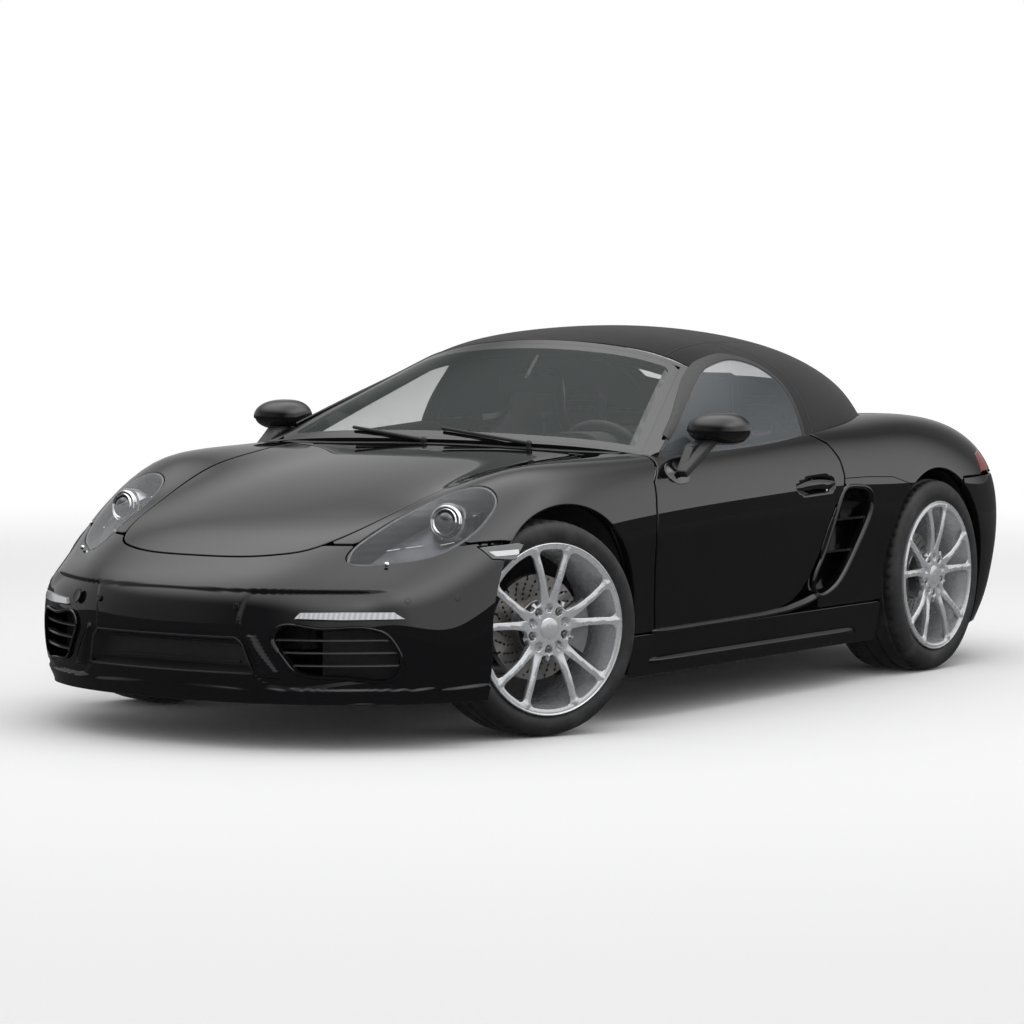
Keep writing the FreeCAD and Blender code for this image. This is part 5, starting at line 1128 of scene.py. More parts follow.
def wheel(end, side, face, width, radius, disc_radius):
    name = f"{end}_{side}"
    body = f"wheel_{end}_{side}"
    place = wheel_place(end == "front", side == "left")
    half = width / 2
    casting = pressed(f"wheel_face_{name}", Dish(0.026, 0.264, face_height(face)), (0, 1, 0, 1), 0.0072, spoke_keep,
                      body, silver, depth=0.020, edge=0.0045, place=place, closed=True)
    inner = half - 0.012
    barrel = lathe(f"wheel_barrel_{name}",
                   [(inner - 0.070, 0.231), (inner - 0.028, 0.2385), (inner - 0.012, 0.2445), (face + 0.001, 0.2490),
                    (face + 0.0035, 0.2560), (half - 0.002, 0.2620), (half + 0.0005, 0.2655), (half - 0.001, 0.2680),
                    (half - 0.006, 0.2685), (inner, 0.2665), (inner - 0.002, 0.2545), (inner - 0.026, 0.2525),
                    (inner - 0.060, 0.240), (-inner + 0.042, 0.240), (-inner + 0.026, 0.254), (-inner, 0.254),
                    (-inner, 0.268), (-half + 0.001, 0.268), (-half + 0.001, 0.258), (-inner + 0.020, 0.246),
                    (-inner + 0.038, 0.231)], 96, body, silver, place)
    cap = lathe(f"wheel_cap_{name}", np.concatenate([
        along([(face - 0.006, 0.0004), (face - 0.0065, 0.012), (face - 0.008, 0.024), (face - 0.0115, 0.0335)], 3),
        [(face - 0.0135, 0.0352), (face - 0.024, 0.0352), (face - 0.024, 0.0004)]]), 72, body, silver, place)
    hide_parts(f"rim_{name}")
    bolts = []
    hexes = np.arange(6) * np.pi / 3
    for number in range(5):
        a = math.radians(54 + 72 * number)
        cx, cz = BOLT_CIRCLE * math.cos(a), BOLT_CIRCLE * math.sin(a)
        bolts.append((cx, cz))
    centre = np.array(bolts)
    levels = [(face - 0.026, 0.0088), (face - 0.0165, 0.0088), (face - 0.0150, 0.0072), (face - 0.0150, 0.0040),
              (face - 0.020, 0.0036)]
    shape = np.array([[(r * math.cos(h), y, r * math.sin(h)) for h in hexes] for y, r in levels])
    p = (shape[None] + np.stack([centre[:, 0], np.zeros(5), centre[:, 1]], 1)[:, None, None, :]).reshape(-1, 3)
    grid = np.arange(len(levels) * 6).reshape(len(levels), 6)
    quads = np.stack([grid[:-1], np.roll(grid, -1, 1)[:-1], np.roll(grid, -1, 1)[1:], grid[1:]], 2).reshape(-1, 4)
    quads = np.concatenate([quads, [grid[-1, [0, 1, 2, 3]], grid[-1, [0, 3, 4, 5]]]])[:, ::-1]
    faces = np.concatenate([quads + k * len(levels) * 6 for k in range(5)])
    points, faces, _ = set_in(place, p, [faces], [np.zeros((0, 3))])
    heads = mesh_piece(f"wheel_bolts_{name}", points, faces, body, bolt_steel, smooth=False)
    outer = [(half - 0.012, 0.2545), (half - 0.010, 0.2720), (half - 0.004, 0.2795), (half - 0.001, 0.290),
             (half, 0.302), (half - 0.003, radius - 0.024), (half - 0.009, radius - 0.013),
             (half - 0.018, radius - 0.0065), (half - 0.032, radius - 0.0025)]
    crown = [(y, radius) for y in np.linspace(half - 0.046, -half + 0.046, 42)]
    side_wall = np.array(outer)
    tyre_profile = np.concatenate([side_wall, crown, side_wall[::-1] * (-1.0, 1.0),
                                   [(-half + 0.024, 0.256), (-half + 0.014, 0.292), (-half + 0.040, radius - 0.016),
                                    (half - 0.040, radius - 0.016), (half - 0.014, 0.292), (half - 0.024, 0.256)]])
    made = lathe(f"tyre_{name}_tread", tyre_profile, 224, body, rubber, place, tread(radius, half))
    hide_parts(f"tyre_{name}")

    def drilled(p):
        r = np.hypot(p[:, 0], p[:, 2])
        a = turned_angle(p)
        keep = least(disc_radius - r, r - 0.090)
        for row, ring_radius in enumerate(np.linspace(disc_radius - 0.062, disc_radius - 0.010, 5)):
            step = 2 * np.pi / 24
            near = (a - row * 0.075 + step / 2) % step - step / 2
            keep = least(keep, np.hypot(r - ring_radius, near * ring_radius) - 0.0046)
        return keep

    plate = pressed(f"disc_plate_{name}", Dish(0.088, disc_radius + 0.002, lambda r, a: 0.0280 + 0.0 * r), (0, 1, 0, 1),
                    0.0078, drilled, body, steel, depth=0.027, edge=0.0006, place=place, closed=True)
    hat = lathe(f"disc_hat_{name}", [(0.010, 0.0905), (0.029, 0.0905), (0.0535, 0.0885), (0.055, 0.0865), (0.055, 0.036),
                                     (0.047, 0.036), (0.047, 0.080), (0.010, 0.080)], 72, body, steel, place)
    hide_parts(f"disc_{name}")


for side in ("left", "right"):
    wheel("front", side, 0.112, 0.235, 0.336, 0.165)
    wheel("rear", side, 0.130, 0.265, 0.347, 0.150)


# ---- glazing ----
# Laminated windscreen and toughened side panes, tinted green-grey through their thickness and
# bonded in; the windscreen has a black fired band along its edge that hides the bond. Thin
# panes: what lies behind shows through them, and more of the sky is mirrored at a slant.
def pane(name, colour, body_of_tint, band=None):
    """A tinted sheet: body_of_tint is how much of it hides what is behind, seen square on."""
    def build(tree):
        slant = node(tree, "ShaderNodeFresnel", {}, {"IOR": 1.5})
        leaving = node(tree, "ShaderNodeNewGeometry", {}, {}, "Backfacing")
        hides = (slant * (1.0 - body_of_tint) + body_of_tint) * (1.0 - leaving)
        smear = grain(tree, 3.0) * 0.02
        out = {"Alpha": hides, "Roughness": smear}
        if band is not None:
            fired = 1.0 - field_of(tree, 0).rise(band - 0.002, band)
            out["Alpha"] = hides.high(fired)
            out["Base Color"] = mixed(tree, fired, colour, (0.006, 0.006, 0.006))
        return out

    return finish(name, build, Base_Color=colour, IOR=1.5)


ROOF = Skin(ROOF_RIBS, -1.0)
SCREEN = Skin(SCREEN_RIBS, -1.0)
SCREEN_PANE = (0.02, 0.965, 0.03, 0.97)
BAND = 0.034


def ring_on(skin, span, count=40):
    """Plan outline in mm of a rectangle of (u, v) on a skin."""
    u0, u1, v0, v1 = span
    t = np.linspace(0.0, 1.0, count, endpoint=False)
    u = np.concatenate([u0 + (u1 - u0) * t, np.full(count, u1), u1 - (u1 - u0) * t, np.full(count, u0)])
    v = np.concatenate([np.full(count, v0), v0 + (v1 - v0) * t, np.full(count, v1), v1 - (v1 - v0) * t])
    return skin.plain(u, v)[0][:, :2] * 1000.0


screen_ring = ring_on(SCREEN, SCREEN_PANE)
WINDOW_TOP = along([(580, 852), (362, 942), (180, 1022), (0, 1098), (-96, 1130), (-224, 1149), (-310, 1137),
                    (-360, 1110), (-390, 1065), (-396, 1013), (-392, 940), (-387, 872)], 6)
WINDOW = np.concatenate([WINDOW_TOP, [(-387, 800), (580, 800)]])
REAR_WINDOW = [(-960, 300), (-1000, 335), (-1200, 330), (-1232, 290), (-1240, 0), (-1232, -290), (-1200, -330),
               (-1000, -335), (-960, -300), (-952, 0)]


def screen_edge(p):
    return within(p, PLAN, screen_ring)


def window_keep(p):
    return least(within(p, SIDE, WINDOW), p[:, 1] - 0.3)


windscreen_glass = pane("windscreen_glass", (0.030, 0.052, 0.047), 0.20, BAND)
side_glass = pane("side_glass", (0.17, 0.19, 0.205), 0.36)
rear_glass = pane("rear_glass", (0.10, 0.12, 0.12), 0.25)
pane_piece = pressed("windscreen_pane", SCREEN, SCREEN_PANE, 0.03, screen_edge, "body", windscreen_glass,
                     depth=0.005, edge=0.001)
told(pane_piece, screen_edge)
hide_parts("windscreen")

# ---- soft top ----
# Fabric top of three layers, black outside, stretched over its bows between the windscreen's
# header and the deck: cut in panels, with a double-stitched seam over each side window and one
# that follows the window down to the belt. A rubber seal lies along the window's edge.
ROOF_SEAM = 0.455
WINDOW_SEAM = 0.070
CLOTH = 0.004


def top_keep(p):
    q = folded(p)
    pillar = least(q[:, 0] + 0.024, q[:, 1] - 0.470)
    return least(-least(within(q, SIDE, WINDOW), q[:, 1] - 0.3) - 0.0075, -within(p, PLAN, REAR_WINDOW) - 0.001,
                 -pillar, q[:, 2] - 0.68 - 0.13 * (q[:, 0] > -0.45))


def over_window(p):
    q = folded(p)
    return -within(q, SIDE, WINDOW) - WINDOW_SEAM + 0.3 * (step_up(q[:, 0], -0.34, -0.20))


def from_crown(p):
    return np.abs(p[:, 1]) - ROOF_SEAM + 0.06 * step_up(-p[:, 0], 0.55, 1.25)


def twill(tree):
    """Black cloth: a fine cross weave, a stitched ridge where either field is zero."""
    weave = grain(tree, 620.0, 2.0, (1.0, 2.4, 1.0))
    lines = (field_of(tree, 0).size()).low(field_of(tree, 1).size())
    ridge = 1.0 - lines.rise(0.0008, 0.0045)
    stitch = 1.0 - (lines - 0.0075).size().rise(0.0004, 0.0016)
    shade = mixed(tree, grain(tree, 5.0, 4.0), (0.0085, 0.008, 0.009), (0.014, 0.0135, 0.0145))
    dark_line = (ridge * 0.5).high(stitch * 0.7)
    return {"Base Color": mixed(tree, dark_line, shade, (0.010, 0.010, 0.011)),
            "Roughness": grain(tree, 40.0) * 0.1 + 0.85,
            "Normal": bumped(tree, weave * 0.25 + ridge * 2.2 - stitch * 0.8, 0.7, 0.0012)}


top_cloth = finish("top_cloth", twill, Sheen_Weight=0.12, Sheen_Roughness=0.5, Specular_IOR_Level=0.15)
top = pressed("fabric_top", ROOF, (0.0, 1.0, 0.0, 1.0), 0.025, top_keep, "body", top_cloth, depth=CLOTH, edge=0.0015)
told(top, over_window, from_crown)
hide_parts("soft_top")


# ---- headlamps ----
# Clear moulded lens flush with the bumper and fender, over a satin grey bowl with stepped
# floors; a projector with a dark glass bulb in two bright rings, a bright barrel behind it,
# and four small bright bars along the bowl's lower edge. A washer's cap sits under each lamp.
def lamp_bowl(tree):
    facets = (place_of_axis(tree, 2) * 260.0).sine() * 0.5 + 0.5
    return {"Base Color": mixed(tree, grain(tree, 18.0), (0.055, 0.058, 0.064), (0.115, 0.12, 0.13)),
            "Roughness": grain(tree, 60.0) * 0.12 + 0.30, "Normal": bumped(tree, facets, 0.30, 0.002)}


def place_of_axis(tree, axis):
    return node(tree, "ShaderNodeSeparateXYZ", {}, {"Vector": place_of(tree)}, axis)


def chromed(tree):
    return {"Roughness": grain(tree, 90.0) * 0.06 + 0.05,
            "Base Color": mixed(tree, grain(tree, 8.0), (0.72, 0.73, 0.75), (0.80, 0.81, 0.83))}


def bulb_dark(tree):
    return {"Base Color": mixed(tree, grain(tree, 20.0), (0.020, 0.022, 0.026), (0.05, 0.055, 0.06)),
            "Roughness": grain(tree, 50.0) * 0.05 + 0.02}


bowl_grey = finish("lamp_bowl_grey", lamp_bowl, Metallic=0.75)
chrome = finish("bright_chrome", chromed, Metallic=1.0)
bulb_glass = finish("bulb_glass", bulb_dark, Coat_Weight=1.0, Coat_Roughness=0.02)
lens_clear = pane("lens_clear", (0.55, 0.57, 0.60), 0.05)


def frosted_bar(tree):
    return {"Base Color": mixed(tree, (place_of_axis(tree, 1) * 500.0).sine() * 0.5 + 0.5, (0.42, 0.43, 0.45),
                                (0.60, 0.61, 0.63)), "Roughness": grain(tree, 60.0) * 0.1 + 0.15}


def silvered(tree):
    return {"Roughness": grain(tree, 20.0) * 0.01,
            "Base Color": mixed(tree, grain(tree, 5.0), (0.80, 0.82, 0.83), (0.86, 0.87, 0.88))}


def gloss_trim(tree):
    return {"Base Color": mixed(tree, grain(tree, 60.0), (0.004, 0.004, 0.004), (0.007, 0.007, 0.007)),
            "Roughness": grain(tree, 30.0) * 0.06 + 0.06}


frosted = finish("frosted_bar", frosted_bar, Coat_Weight=1.0, Coat_Roughness=0.02)
mirror_silver = finish("mirror_silver", silvered, Metallic=1.0)
gloss = finish("gloss_trim", gloss_trim, Coat_Weight=0.6, Coat_Roughness=0.03)


def lens_keep(p):
    return lamp_plan(p) - 0.001


for side, place in (("left", AS_DRAWN), ("right", MIRRORED)):
    made = pressed("headlamp_lens_" + side, body_skin, (0.6, 1.0, 0.0, 0.5), 0.015, lens_keep, "body", lens_clear,
                   depth=0.004, edge=0.0015, place=place)
    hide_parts("headlamp_lenses")
LAMP_FACE = np.array([1.566, 0.628, 0.672])
LAMP_AIM = unit(np.array([[0.93, 0.12, 0.16]]))[0]


def aimed(spot, direction):
    """Turn and shift that carry a piece drawn along +Y at the origin to a spot and a direction."""
    along_it = np.array(direction, float) / np.linalg.norm(direction)
    side = np.cross(along_it, (0.0, 0.0, 1.0))
    side /= np.linalg.norm(side)
    return np.stack([side, along_it, np.cross(side, along_it)], 1), np.array(spot, float)


def other_side(place):
    """The same turn and shift on the right side of the car."""
    flip = np.diag([1.0, -1.0, 1.0])
    return flip @ place[0], flip @ place[1]


def twice(name, make, place, *rest):
    make(name + "_left", place, *rest)
    make(name + "_right", other_side(place), *rest)


projector_place = aimed(LAMP_FACE, LAMP_AIM)
RINGS = ((0.052, 0.044, 0.012, -0.004), (0.042, 0.035, 0.006, 0.008))


def projector(name, place):
    for number, (outer, inner, tall, start) in enumerate(RINGS):
        profile = [(start, inner), (start, outer - 0.002), (start + 0.002, outer), (start + tall, outer - 0.001),
                   (start + tall + 0.003, (outer + inner) / 2), (start + tall, inner)]
        lathe(f"{name}_ring_{number}", profile, 64, "body", chrome, place)
    dome = [(0.0, 0.0004), (0.0, 0.034), (0.006, 0.0335), (0.014, 0.030), (0.021, 0.022), (0.025, 0.011),
            (0.026, 0.0004)]
    lathe(name + "_bulb", dome, 64, "body", bulb_glass, place)
    barrel = [(-0.075, 0.050), (-0.075, 0.058), (-0.030, 0.062), (-0.006, 0.060), (-0.004, 0.052), (-0.030, 0.050)]
    lathe(name + "_barrel", barrel, 64, "body", chrome, place)


twice("projector", projector, projector_place)


def stick(name, ends, half, body, material, bevel=0.0):
    """A straight bar between two points: half = its half sizes across, level and upright."""
    a, b = [np.array(e, float) for e in ends]
    along_it = (b - a) / np.linalg.norm(b - a)
    side = np.cross(along_it, (0.0, 0.0, 1.0))
    side /= np.linalg.norm(side)
    over = np.cross(side, along_it)
    corners = [a + side * i * half[0] + over * j * half[1] for i, j in ((-1, -1), (1, -1), (1, 1), (-1, 1))]
    corners += [c + b - a for c in corners]
    faces = np.array([[3, 2, 1, 0], [4, 5, 6, 7], [0, 1, 5, 4], [1, 2, 6, 5], [2, 3, 7, 6], [3, 0, 4, 7]])
    made = mesh_piece(name, np.array(corners), [faces[:, ::-1]], body, material, smooth=False)
    if bevel:
        rounding = made.modifiers.new("edges", "BEVEL")
        rounding.width = bevel
        rounding.segments = 2
    return made


LAMP_BARS = [((1.655, 0.600, 0.600), (1.690, 0.560, 0.594)), ((1.700, 0.548, 0.592), (1.735, 0.520, 0.586)),
             ((1.600, 0.680, 0.612), (1.640, 0.655, 0.604)), ((1.470, 0.690, 0.700), (1.520, 0.700, 0.690))]
for number, (first, last) in enumerate(LAMP_BARS):
    for side, sign in (("left", 1.0), ("right", -1.0)):
        stick(f"lamp_bar_{number}_{side}", [np.array(e) * (1.0, sign, 1.0) for e in (first, last)], (0.004, 0.0025),
              "body", chrome, 0.001)


def washer(name, place):
    lathe(name, [(-0.004, 0.0004), (-0.004, 0.0075), (0.002, 0.007), (0.0045, 0.004), (0.005, 0.0004)], 32, "body",
          chrome, place)


twice("lamp_washer", washer, aimed((1.831, 0.590, 0.556), (0.80, 0.50, 0.35)))


# ---- front bumper's openings and small parts ----
# Painted plastic skin; the licence plate's recess is a matt tray let into it, each air intake
# has a gloss lip turned in over its slats. Parking sensors are small black discs pressed in
# from behind, and the tow eye has a round cover.
def on_skin(skin, flat, axes, away, span=WHOLE):
    """Points of a skin over flat points given in two axes, in metres, with its normals there:
    the nearest of a fine grid that faces the right way, moved along its own tangent plane."""
    u, v = [g.ravel() for g in np.meshgrid(np.linspace(span[0], span[1], 420), np.linspace(span[2], span[3], 420),
                                           indexing="ij")]
    p, n = skin.plain(u, v)
    third = 3 - sum(axes)
    facing = n[:, third] * away > 0.15
    p = p[facing]
    n = n[facing]
    flat = np.array(flat, float)
    gap = ((flat[:, None, :] - p[None, :, axes]) ** 2).sum(2)
    best = gap.argmin(1)
    p, n = p[best], n[best]
    shift = flat - p[:, axes]
    out = p.copy()
    out[:, axes] = flat
    out[:, third] = p[:, third] - (n[:, axes] * shift).sum(1) / n[:, third]
    return out, n


def spaced(outline, step, closed=True):
    """An outline in metres cut into even steps no longer than step."""
    ring = np.array(outline, float)
    if closed:
        ring = np.concatenate([ring, ring[:1]])
    run = np.concatenate([[0.0], np.cumsum(np.linalg.norm(np.diff(ring, axis=0), axis=1))])
    at = np.linspace(0.0, run[-1], int(run[-1] / step) + 2)
    if closed:
        at = at[:-1]
    return np.stack([np.interp(at, run, ring[:, k]) for k in range(ring.shape[1])], 1)


def inset(ring, distance):
    """A flat closed ring moved in by a distance along its own normals."""
    way = np.roll(ring, -1, 0) - np.roll(ring, 1, 0)
    normal = unit(np.stack([-way[:, 1], way[:, 0]], 1))
    area = (ring[:, 0] * np.roll(ring[:, 1], -1) - np.roll(ring[:, 0], -1) * ring[:, 1]).sum()
    return ring + normal * distance * np.sign(area)


def lofted(name, rings, body, material, closed=True, floor=False, place=AS_DRAWN, flip=False, thick=0.0):
    """A sheet through rings of equally many points; floor fills the last ring."""
    rings = [np.array(r, float) for r in rings]
    count = len(rings[0])
    start = np.arange(count if closed else count - 1)
    after = (start + 1) % count
    faces = [np.stack([start, after, after + count, start + count], 1) + k * count for k in range(len(rings) - 1)]
    if floor:
        faces.append((np.arange(count) + (len(rings) - 1) * count)[None, ::-1])
    if flip:
        faces = [f[:, ::-1] for f in faces]
    points, faces, _ = set_in(place, np.concatenate(rings), faces, [np.zeros((0, 3))] * len(faces))
    made = mesh_piece(name, points, faces, body, material)
    made.data.set_sharp_from_angle(angle=math.radians(38))
    if thick:
        wall = made.modifiers.new("wall", "SOLIDIFY")
        wall.thickness = thick
        wall.offset = -1.0
    return made


def matt_dark(tree):
    return {"Base Color": mixed(tree, grain(tree, 60.0), (0.012, 0.012, 0.013), (0.020, 0.020, 0.022)),
            "Roughness": grain(tree, 90.0) * 0.2 + 0.42, "Normal": bumped(tree, grain(tree, 700.0), 0.1, 0.0003)}


def satin_dark(tree):
    return {"Base Color": mixed(tree, grain(tree, 60.0), (0.030, 0.030, 0.032), (0.045, 0.045, 0.048)),
            "Roughness": grain(tree, 90.0) * 0.1 + 0.25}


matt = finish("matt_plastic", matt_dark)
slat_satin = finish("slat_satin", satin_dark, Coat_Weight=0.5, Coat_Roughness=0.1)
plate_ring = spaced(np.array(PLATE_FRONT, float) / 1000.0, 0.012)
plate_edge, plate_out = on_skin(body_skin, plate_ring, FRONT, 1.0, (0.6, 1.0, 0.0, 1.0))
plate_low, _ = on_skin(body_skin, inset(plate_ring, -0.004), FRONT, 1.0, (0.6, 1.0, 0.0, 1.0))
PLATE_FLOOR = 2.094
tray = [plate_low - (0.006, 0, 0), plate_edge - (0.009, 0, 0), plate_edge - (0.014, 0, 0)]
inner = inset(plate_ring, 0.012)
tray.append(np.column_stack([np.full(len(inner), PLATE_FLOOR + 0.006), inner]))
inner = inset(plate_ring, 0.018)
tray.append(np.column_stack([np.full(len(inner), PLATE_FLOOR), inner]))
lofted("plate_recess", tray, "body", matt, floor=True, thick=0.003)
for number, height in enumerate((0.262, 0.312)):
    stick(f"plate_rail_{number}", [(PLATE_FLOOR + 0.003, -0.24, height), (PLATE_FLOOR + 0.003, 0.24, height)],
          (0.002, 0.004), "body", matt, 0.001)
intake_flat = spaced(np.array(intake_ring) / 1000.0, 0.008)
intake_lip = []
for inward, deep in ((-0.004, 0.006), (-0.001, 0.003), (0.002, 0.004), (0.0045, 0.010), (0.006, 0.030)):
    edge_points, edge_out = on_skin(body_skin, inset(intake_flat, inward), FRONT, 1.0, (0.6, 1.0, 0.0, 0.5))
    intake_lip.append(edge_points - (deep, 0, 0))
for side, place in (("left", AS_DRAWN), ("right", MIRRORED)):
    lofted("intake_lip_" + side, intake_lip, "body", paint, place=place, thick=0.002)


def sensor(name, place):
    lathe(name, [(-0.003, 0.0004), (-0.003, 0.0100), (0.0008, 0.0098), (0.0012, 0.0088), (0.0002, 0.0082),
                 (0.0006, 0.0004)], 32, "body", paint, place)


def tow_cover(name, place):
    lathe(name, [(-0.003, 0.0004), (-0.003, 0.0235), (0.0006, 0.0230), (0.0010, 0.0205), (0.0004, 0.0190),
                 (0.0010, 0.0004)], 48, "body", paint, place)


SLAT_HEIGHTS = (0.264, 0.303, 0.341)
for number, height in enumerate(SLAT_HEIGHTS):
    inner = np.interp(height, (0.246, 0.290, 0.350), (0.424, 0.394, 0.368))
    outer = np.interp(height, (0.262, 0.327, 0.356), (0.691, 0.677, 0.660))
    across = np.column_stack([np.linspace(inner, outer, 30), np.full(30, height)])
    front_line, _ = on_skin(body_skin, across, FRONT, 1.0, (0.6, 1.0, 0.0, 0.5))
    blade = [front_line - (0.052, 0, 0.003), front_line - (0.022, 0, 0.0015), front_line - (0.0185, 0, 0.0035),
             front_line - (0.018, 0, 0.0065), front_line - (0.022, 0, 0.008), front_line - (0.052, 0, 0.006)]
    for side, place in (("left", AS_DRAWN), ("right", MIRRORED)):
        made = lofted(f"intake_slat_{number}_{side}", blade, "body", slat_satin, closed=False, place=place, flip=True)
        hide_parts("front_grilles")


SENSORS = [(0.263, 0.433), (0.690, 0.452), (0.775, 0.455)]
spots, facing_out = on_skin(body_skin, np.array(SENSORS + [(-0.385, 0.432)]), FRONT, 1.0, (0.6, 1.0, 0.0, 1.0))
for number in range(len(SENSORS)):
    twice(f"sensor_{number}", sensor, aimed(spots[number], facing_out[number]))
tow_cover("tow_cover", aimed(spots[-1], facing_out[-1]))

# ---- side markers ----
# A smoked wedge lamp let into the bumper's corner just ahead of the wheel arch, clipped in from
# behind, with a bright light bar set under its clear cover.
MARKER_BAR = [(1574, 588), (1479, 592), (1482, 577), (1560, 573)]


def smoked(tree):
    return {"Base Color": mixed(tree, grain(tree, 30.0), (0.030, 0.031, 0.034), (0.046, 0.047, 0.052)),
            "Roughness": grain(tree, 20.0) * 0.02 + 0.05}


def bar_white(tree):
    return {"Base Color": mixed(tree, grain(tree, 9.0), (0.62, 0.63, 0.65), (0.74, 0.75, 0.77)),
            "Roughness": grain(tree, 20.0) * 0.05 + 0.12}


marker_smoked = finish("marker_smoked", smoked, Coat_Weight=1.0, Coat_Roughness=0.02)
marker_white = finish("marker_white", bar_white, Coat_Weight=1.0, Coat_Roughness=0.02)
MARKER_PARTS = [("side_marker_", MARKER, marker_smoked, ((0.001, 0.006), (0.001, 0.001), (0.0025, 0.0))),
                ("marker_bar_", MARKER_BAR, marker_white, ((0.0, 0.001), (0.0, -0.0008), (0.0008, -0.0014)))]
for part_name, outline, material, steps in MARKER_PARTS:
    marker_flat = spaced(np.array(outline, float) / 1000.0, 0.006)
    lens_rings = []
    for inward, deep in steps:
        marker_points, marker_out = on_skin(body_skin, inset(marker_flat, inward), SIDE, 1.0, (0.6, 1.0, 0.0, 0.5))
        lens_rings.append(marker_points - marker_out * deep)
    for side, place in (("left", AS_DRAWN), ("right", MIRRORED)):
        made = lofted(part_name + side, lens_rings, "body", material, floor=True, place=place, flip=True)
        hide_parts("side_markers")


# ---- wheel arches, sills and side intakes ----
# The body's edge is turned in round each wheel in a broad painted flange. Under the doors a
# bright-edged ledge and a thin blade run the length of the sill, and behind each door an air
# intake stands in a gloss frame.
ARCH_TURN = (0.0, 0.004, 0.010, 0.024, 0.040)
for end, (x0, z0, radius), lowest in (("front", FRONT_ARCH, 0.235), ("rear", REAR_ARCH, 0.235)):
    bend = np.radians(np.linspace(0.0, 180.0, 64))
    down = np.linspace(lowest, z0, 8)[:-1]
    path = np.concatenate([np.column_stack([np.full(7, x0 + radius), down]),
                           np.column_stack([x0 + radius * np.cos(bend), z0 + radius * np.sin(bend)]),
                           np.column_stack([np.full(7, x0 - radius), down[::-1]])])
    edge_points, edge_out = on_skin(body_skin, path, SIDE, 1.0)
    centre = np.stack([path[:, 0] - x0, np.maximum(path[:, 1] - z0, 0.0)], 1)
    outward_2d = unit(centre + np.array([0.0, 1e-6]))
    rolls = []
    for inward in ARCH_TURN:
        lift = 0.0025 * (1 - (inward / 0.040 - 0.5) ** 2 * 4) - 0.0005
        moved = edge_points.copy()
        moved[:, 0] -= outward_2d[:, 0] * lift
        moved[:, 2] -= outward_2d[:, 1] * lift
        moved[:, 1] -= inward + 0.002
        rolls.append(moved)
    for side, place in (("left", AS_DRAWN), ("right", MIRRORED)):
        lofted(f"arch_flange_{end}_{side}", rolls, "body", paint, closed=False, place=place, flip=True, thick=0.002)


def rail(name, path, width, tilt, body, material, place, thick=0.004):
    """A narrow painted ledge along a path of (x, y, z): width is its half width at each point,
    tilt how far its outer edge hangs below its inner one."""
    path = np.array(path, float)
    width = np.array(width, float)[:, None]
    across = np.array([0.0, math.cos(tilt), -math.sin(tilt)])
    rings = [path - across * width, path, path + across * width, path + across * width - (0, 0.001, 0.006)]
    return lofted(name, rings, body, material, closed=False, place=place, thick=thick)


ledge = np.array([(0.730, 0.866, 0.2865), (0.600, 0.8720, 0.2865), (0.300, 0.8765, 0.2885), (0.000, 0.8790, 0.2920),
                  (-0.160, 0.880, 0.3000), (-0.290, 0.882, 0.3180), (-0.370, 0.884, 0.3360)])
ledge_flat, ledge_out = on_skin(body_skin, spaced(ledge[:, [0, 2]], 0.03, False), SIDE, 1.0)
ledge_width = np.interp(ledge_flat[:, 0], (-0.37, -0.25, 0.0, 0.65, 0.73), (0.012, 0.011, 0.008, 0.006, 0.001))
blade_top = [(0.735, 0.846), (0.690, 0.866), (0.560, 0.8745), (-0.560, 0.8805), (-0.640, 0.872), (-0.690, 0.848)]
for side, place in (("left", AS_DRAWN), ("right", MIRRORED)):
    rail("sill_ledge_" + side, ledge_flat + (0, 0.000, 0), ledge_width, 0.9, "body", paint, place)
    outer_edge = spaced(np.array(blade_top), 0.03, False)
    upper = np.column_stack([outer_edge, np.full(len(outer_edge), 0.194)])
    inner_edge = upper.copy()
    inner_edge[:, 1] -= 0.060
    inner_edge[:, 2] += 0.012
    crest = upper.copy()
    crest[:, 1] -= 0.012
    crest[:, 2] += 0.001
    under = upper - (0, 0.002, 0.014)
    lofted("sill_blade_" + side, [inner_edge, crest, upper - (0, 0.002, 0.001), upper - (0, 0, 0.004), under,
                                  under - (0, 0.05, 0)], "body", paint, closed=False, place=place)
side_flat = spaced(np.array(side_ring) / 1000.0, 0.010)
frame_rings = []
for inward, lift in ((-0.010, -0.003), (-0.008, 0.001), (-0.004, 0.0040), (0.001, 0.0045), (0.006, 0.002),
                     (0.010, -0.006), (0.012, -0.028)):
    rim_points, rim_out = on_skin(body_skin, inset(side_flat, inward), SIDE, 1.0)
    frame_rings.append(rim_points + rim_out * lift)
for side, place in (("left", AS_DRAWN), ("right", MIRRORED)):
    lofted("intake_frame_" + side, frame_rings, "body", paint, place=place, flip=True)

# ---- window seals ----
# A black rubber lip runs round the edge of each side window's opening in the top.
seal_path = spaced(WINDOW_TOP[3:] / 1000.0, 0.012, False)
seal_way = unit(np.gradient(seal_path, axis=0))
seal_out = np.column_stack([-seal_way[:, 1], seal_way[:, 0]]) * -1.0
seal_rings = []
for outward, lift in ((-0.011, -0.004), (-0.010, 0.0015), (-0.004, 0.0035), (0.004, 0.0035), (0.0095, 0.001),
                      (0.0100, -0.004)):
    seal_points, seal_normal = on_skin(ROOF, seal_path + seal_out * outward, SIDE, 1.0)
    seal_rings.append(seal_points + seal_normal * lift)
for side, place in (("left", AS_DRAWN), ("right", MIRRORED)):
    lofted("window_seal_" + side, seal_rings, "body", matt, closed=False, place=place, flip=True)

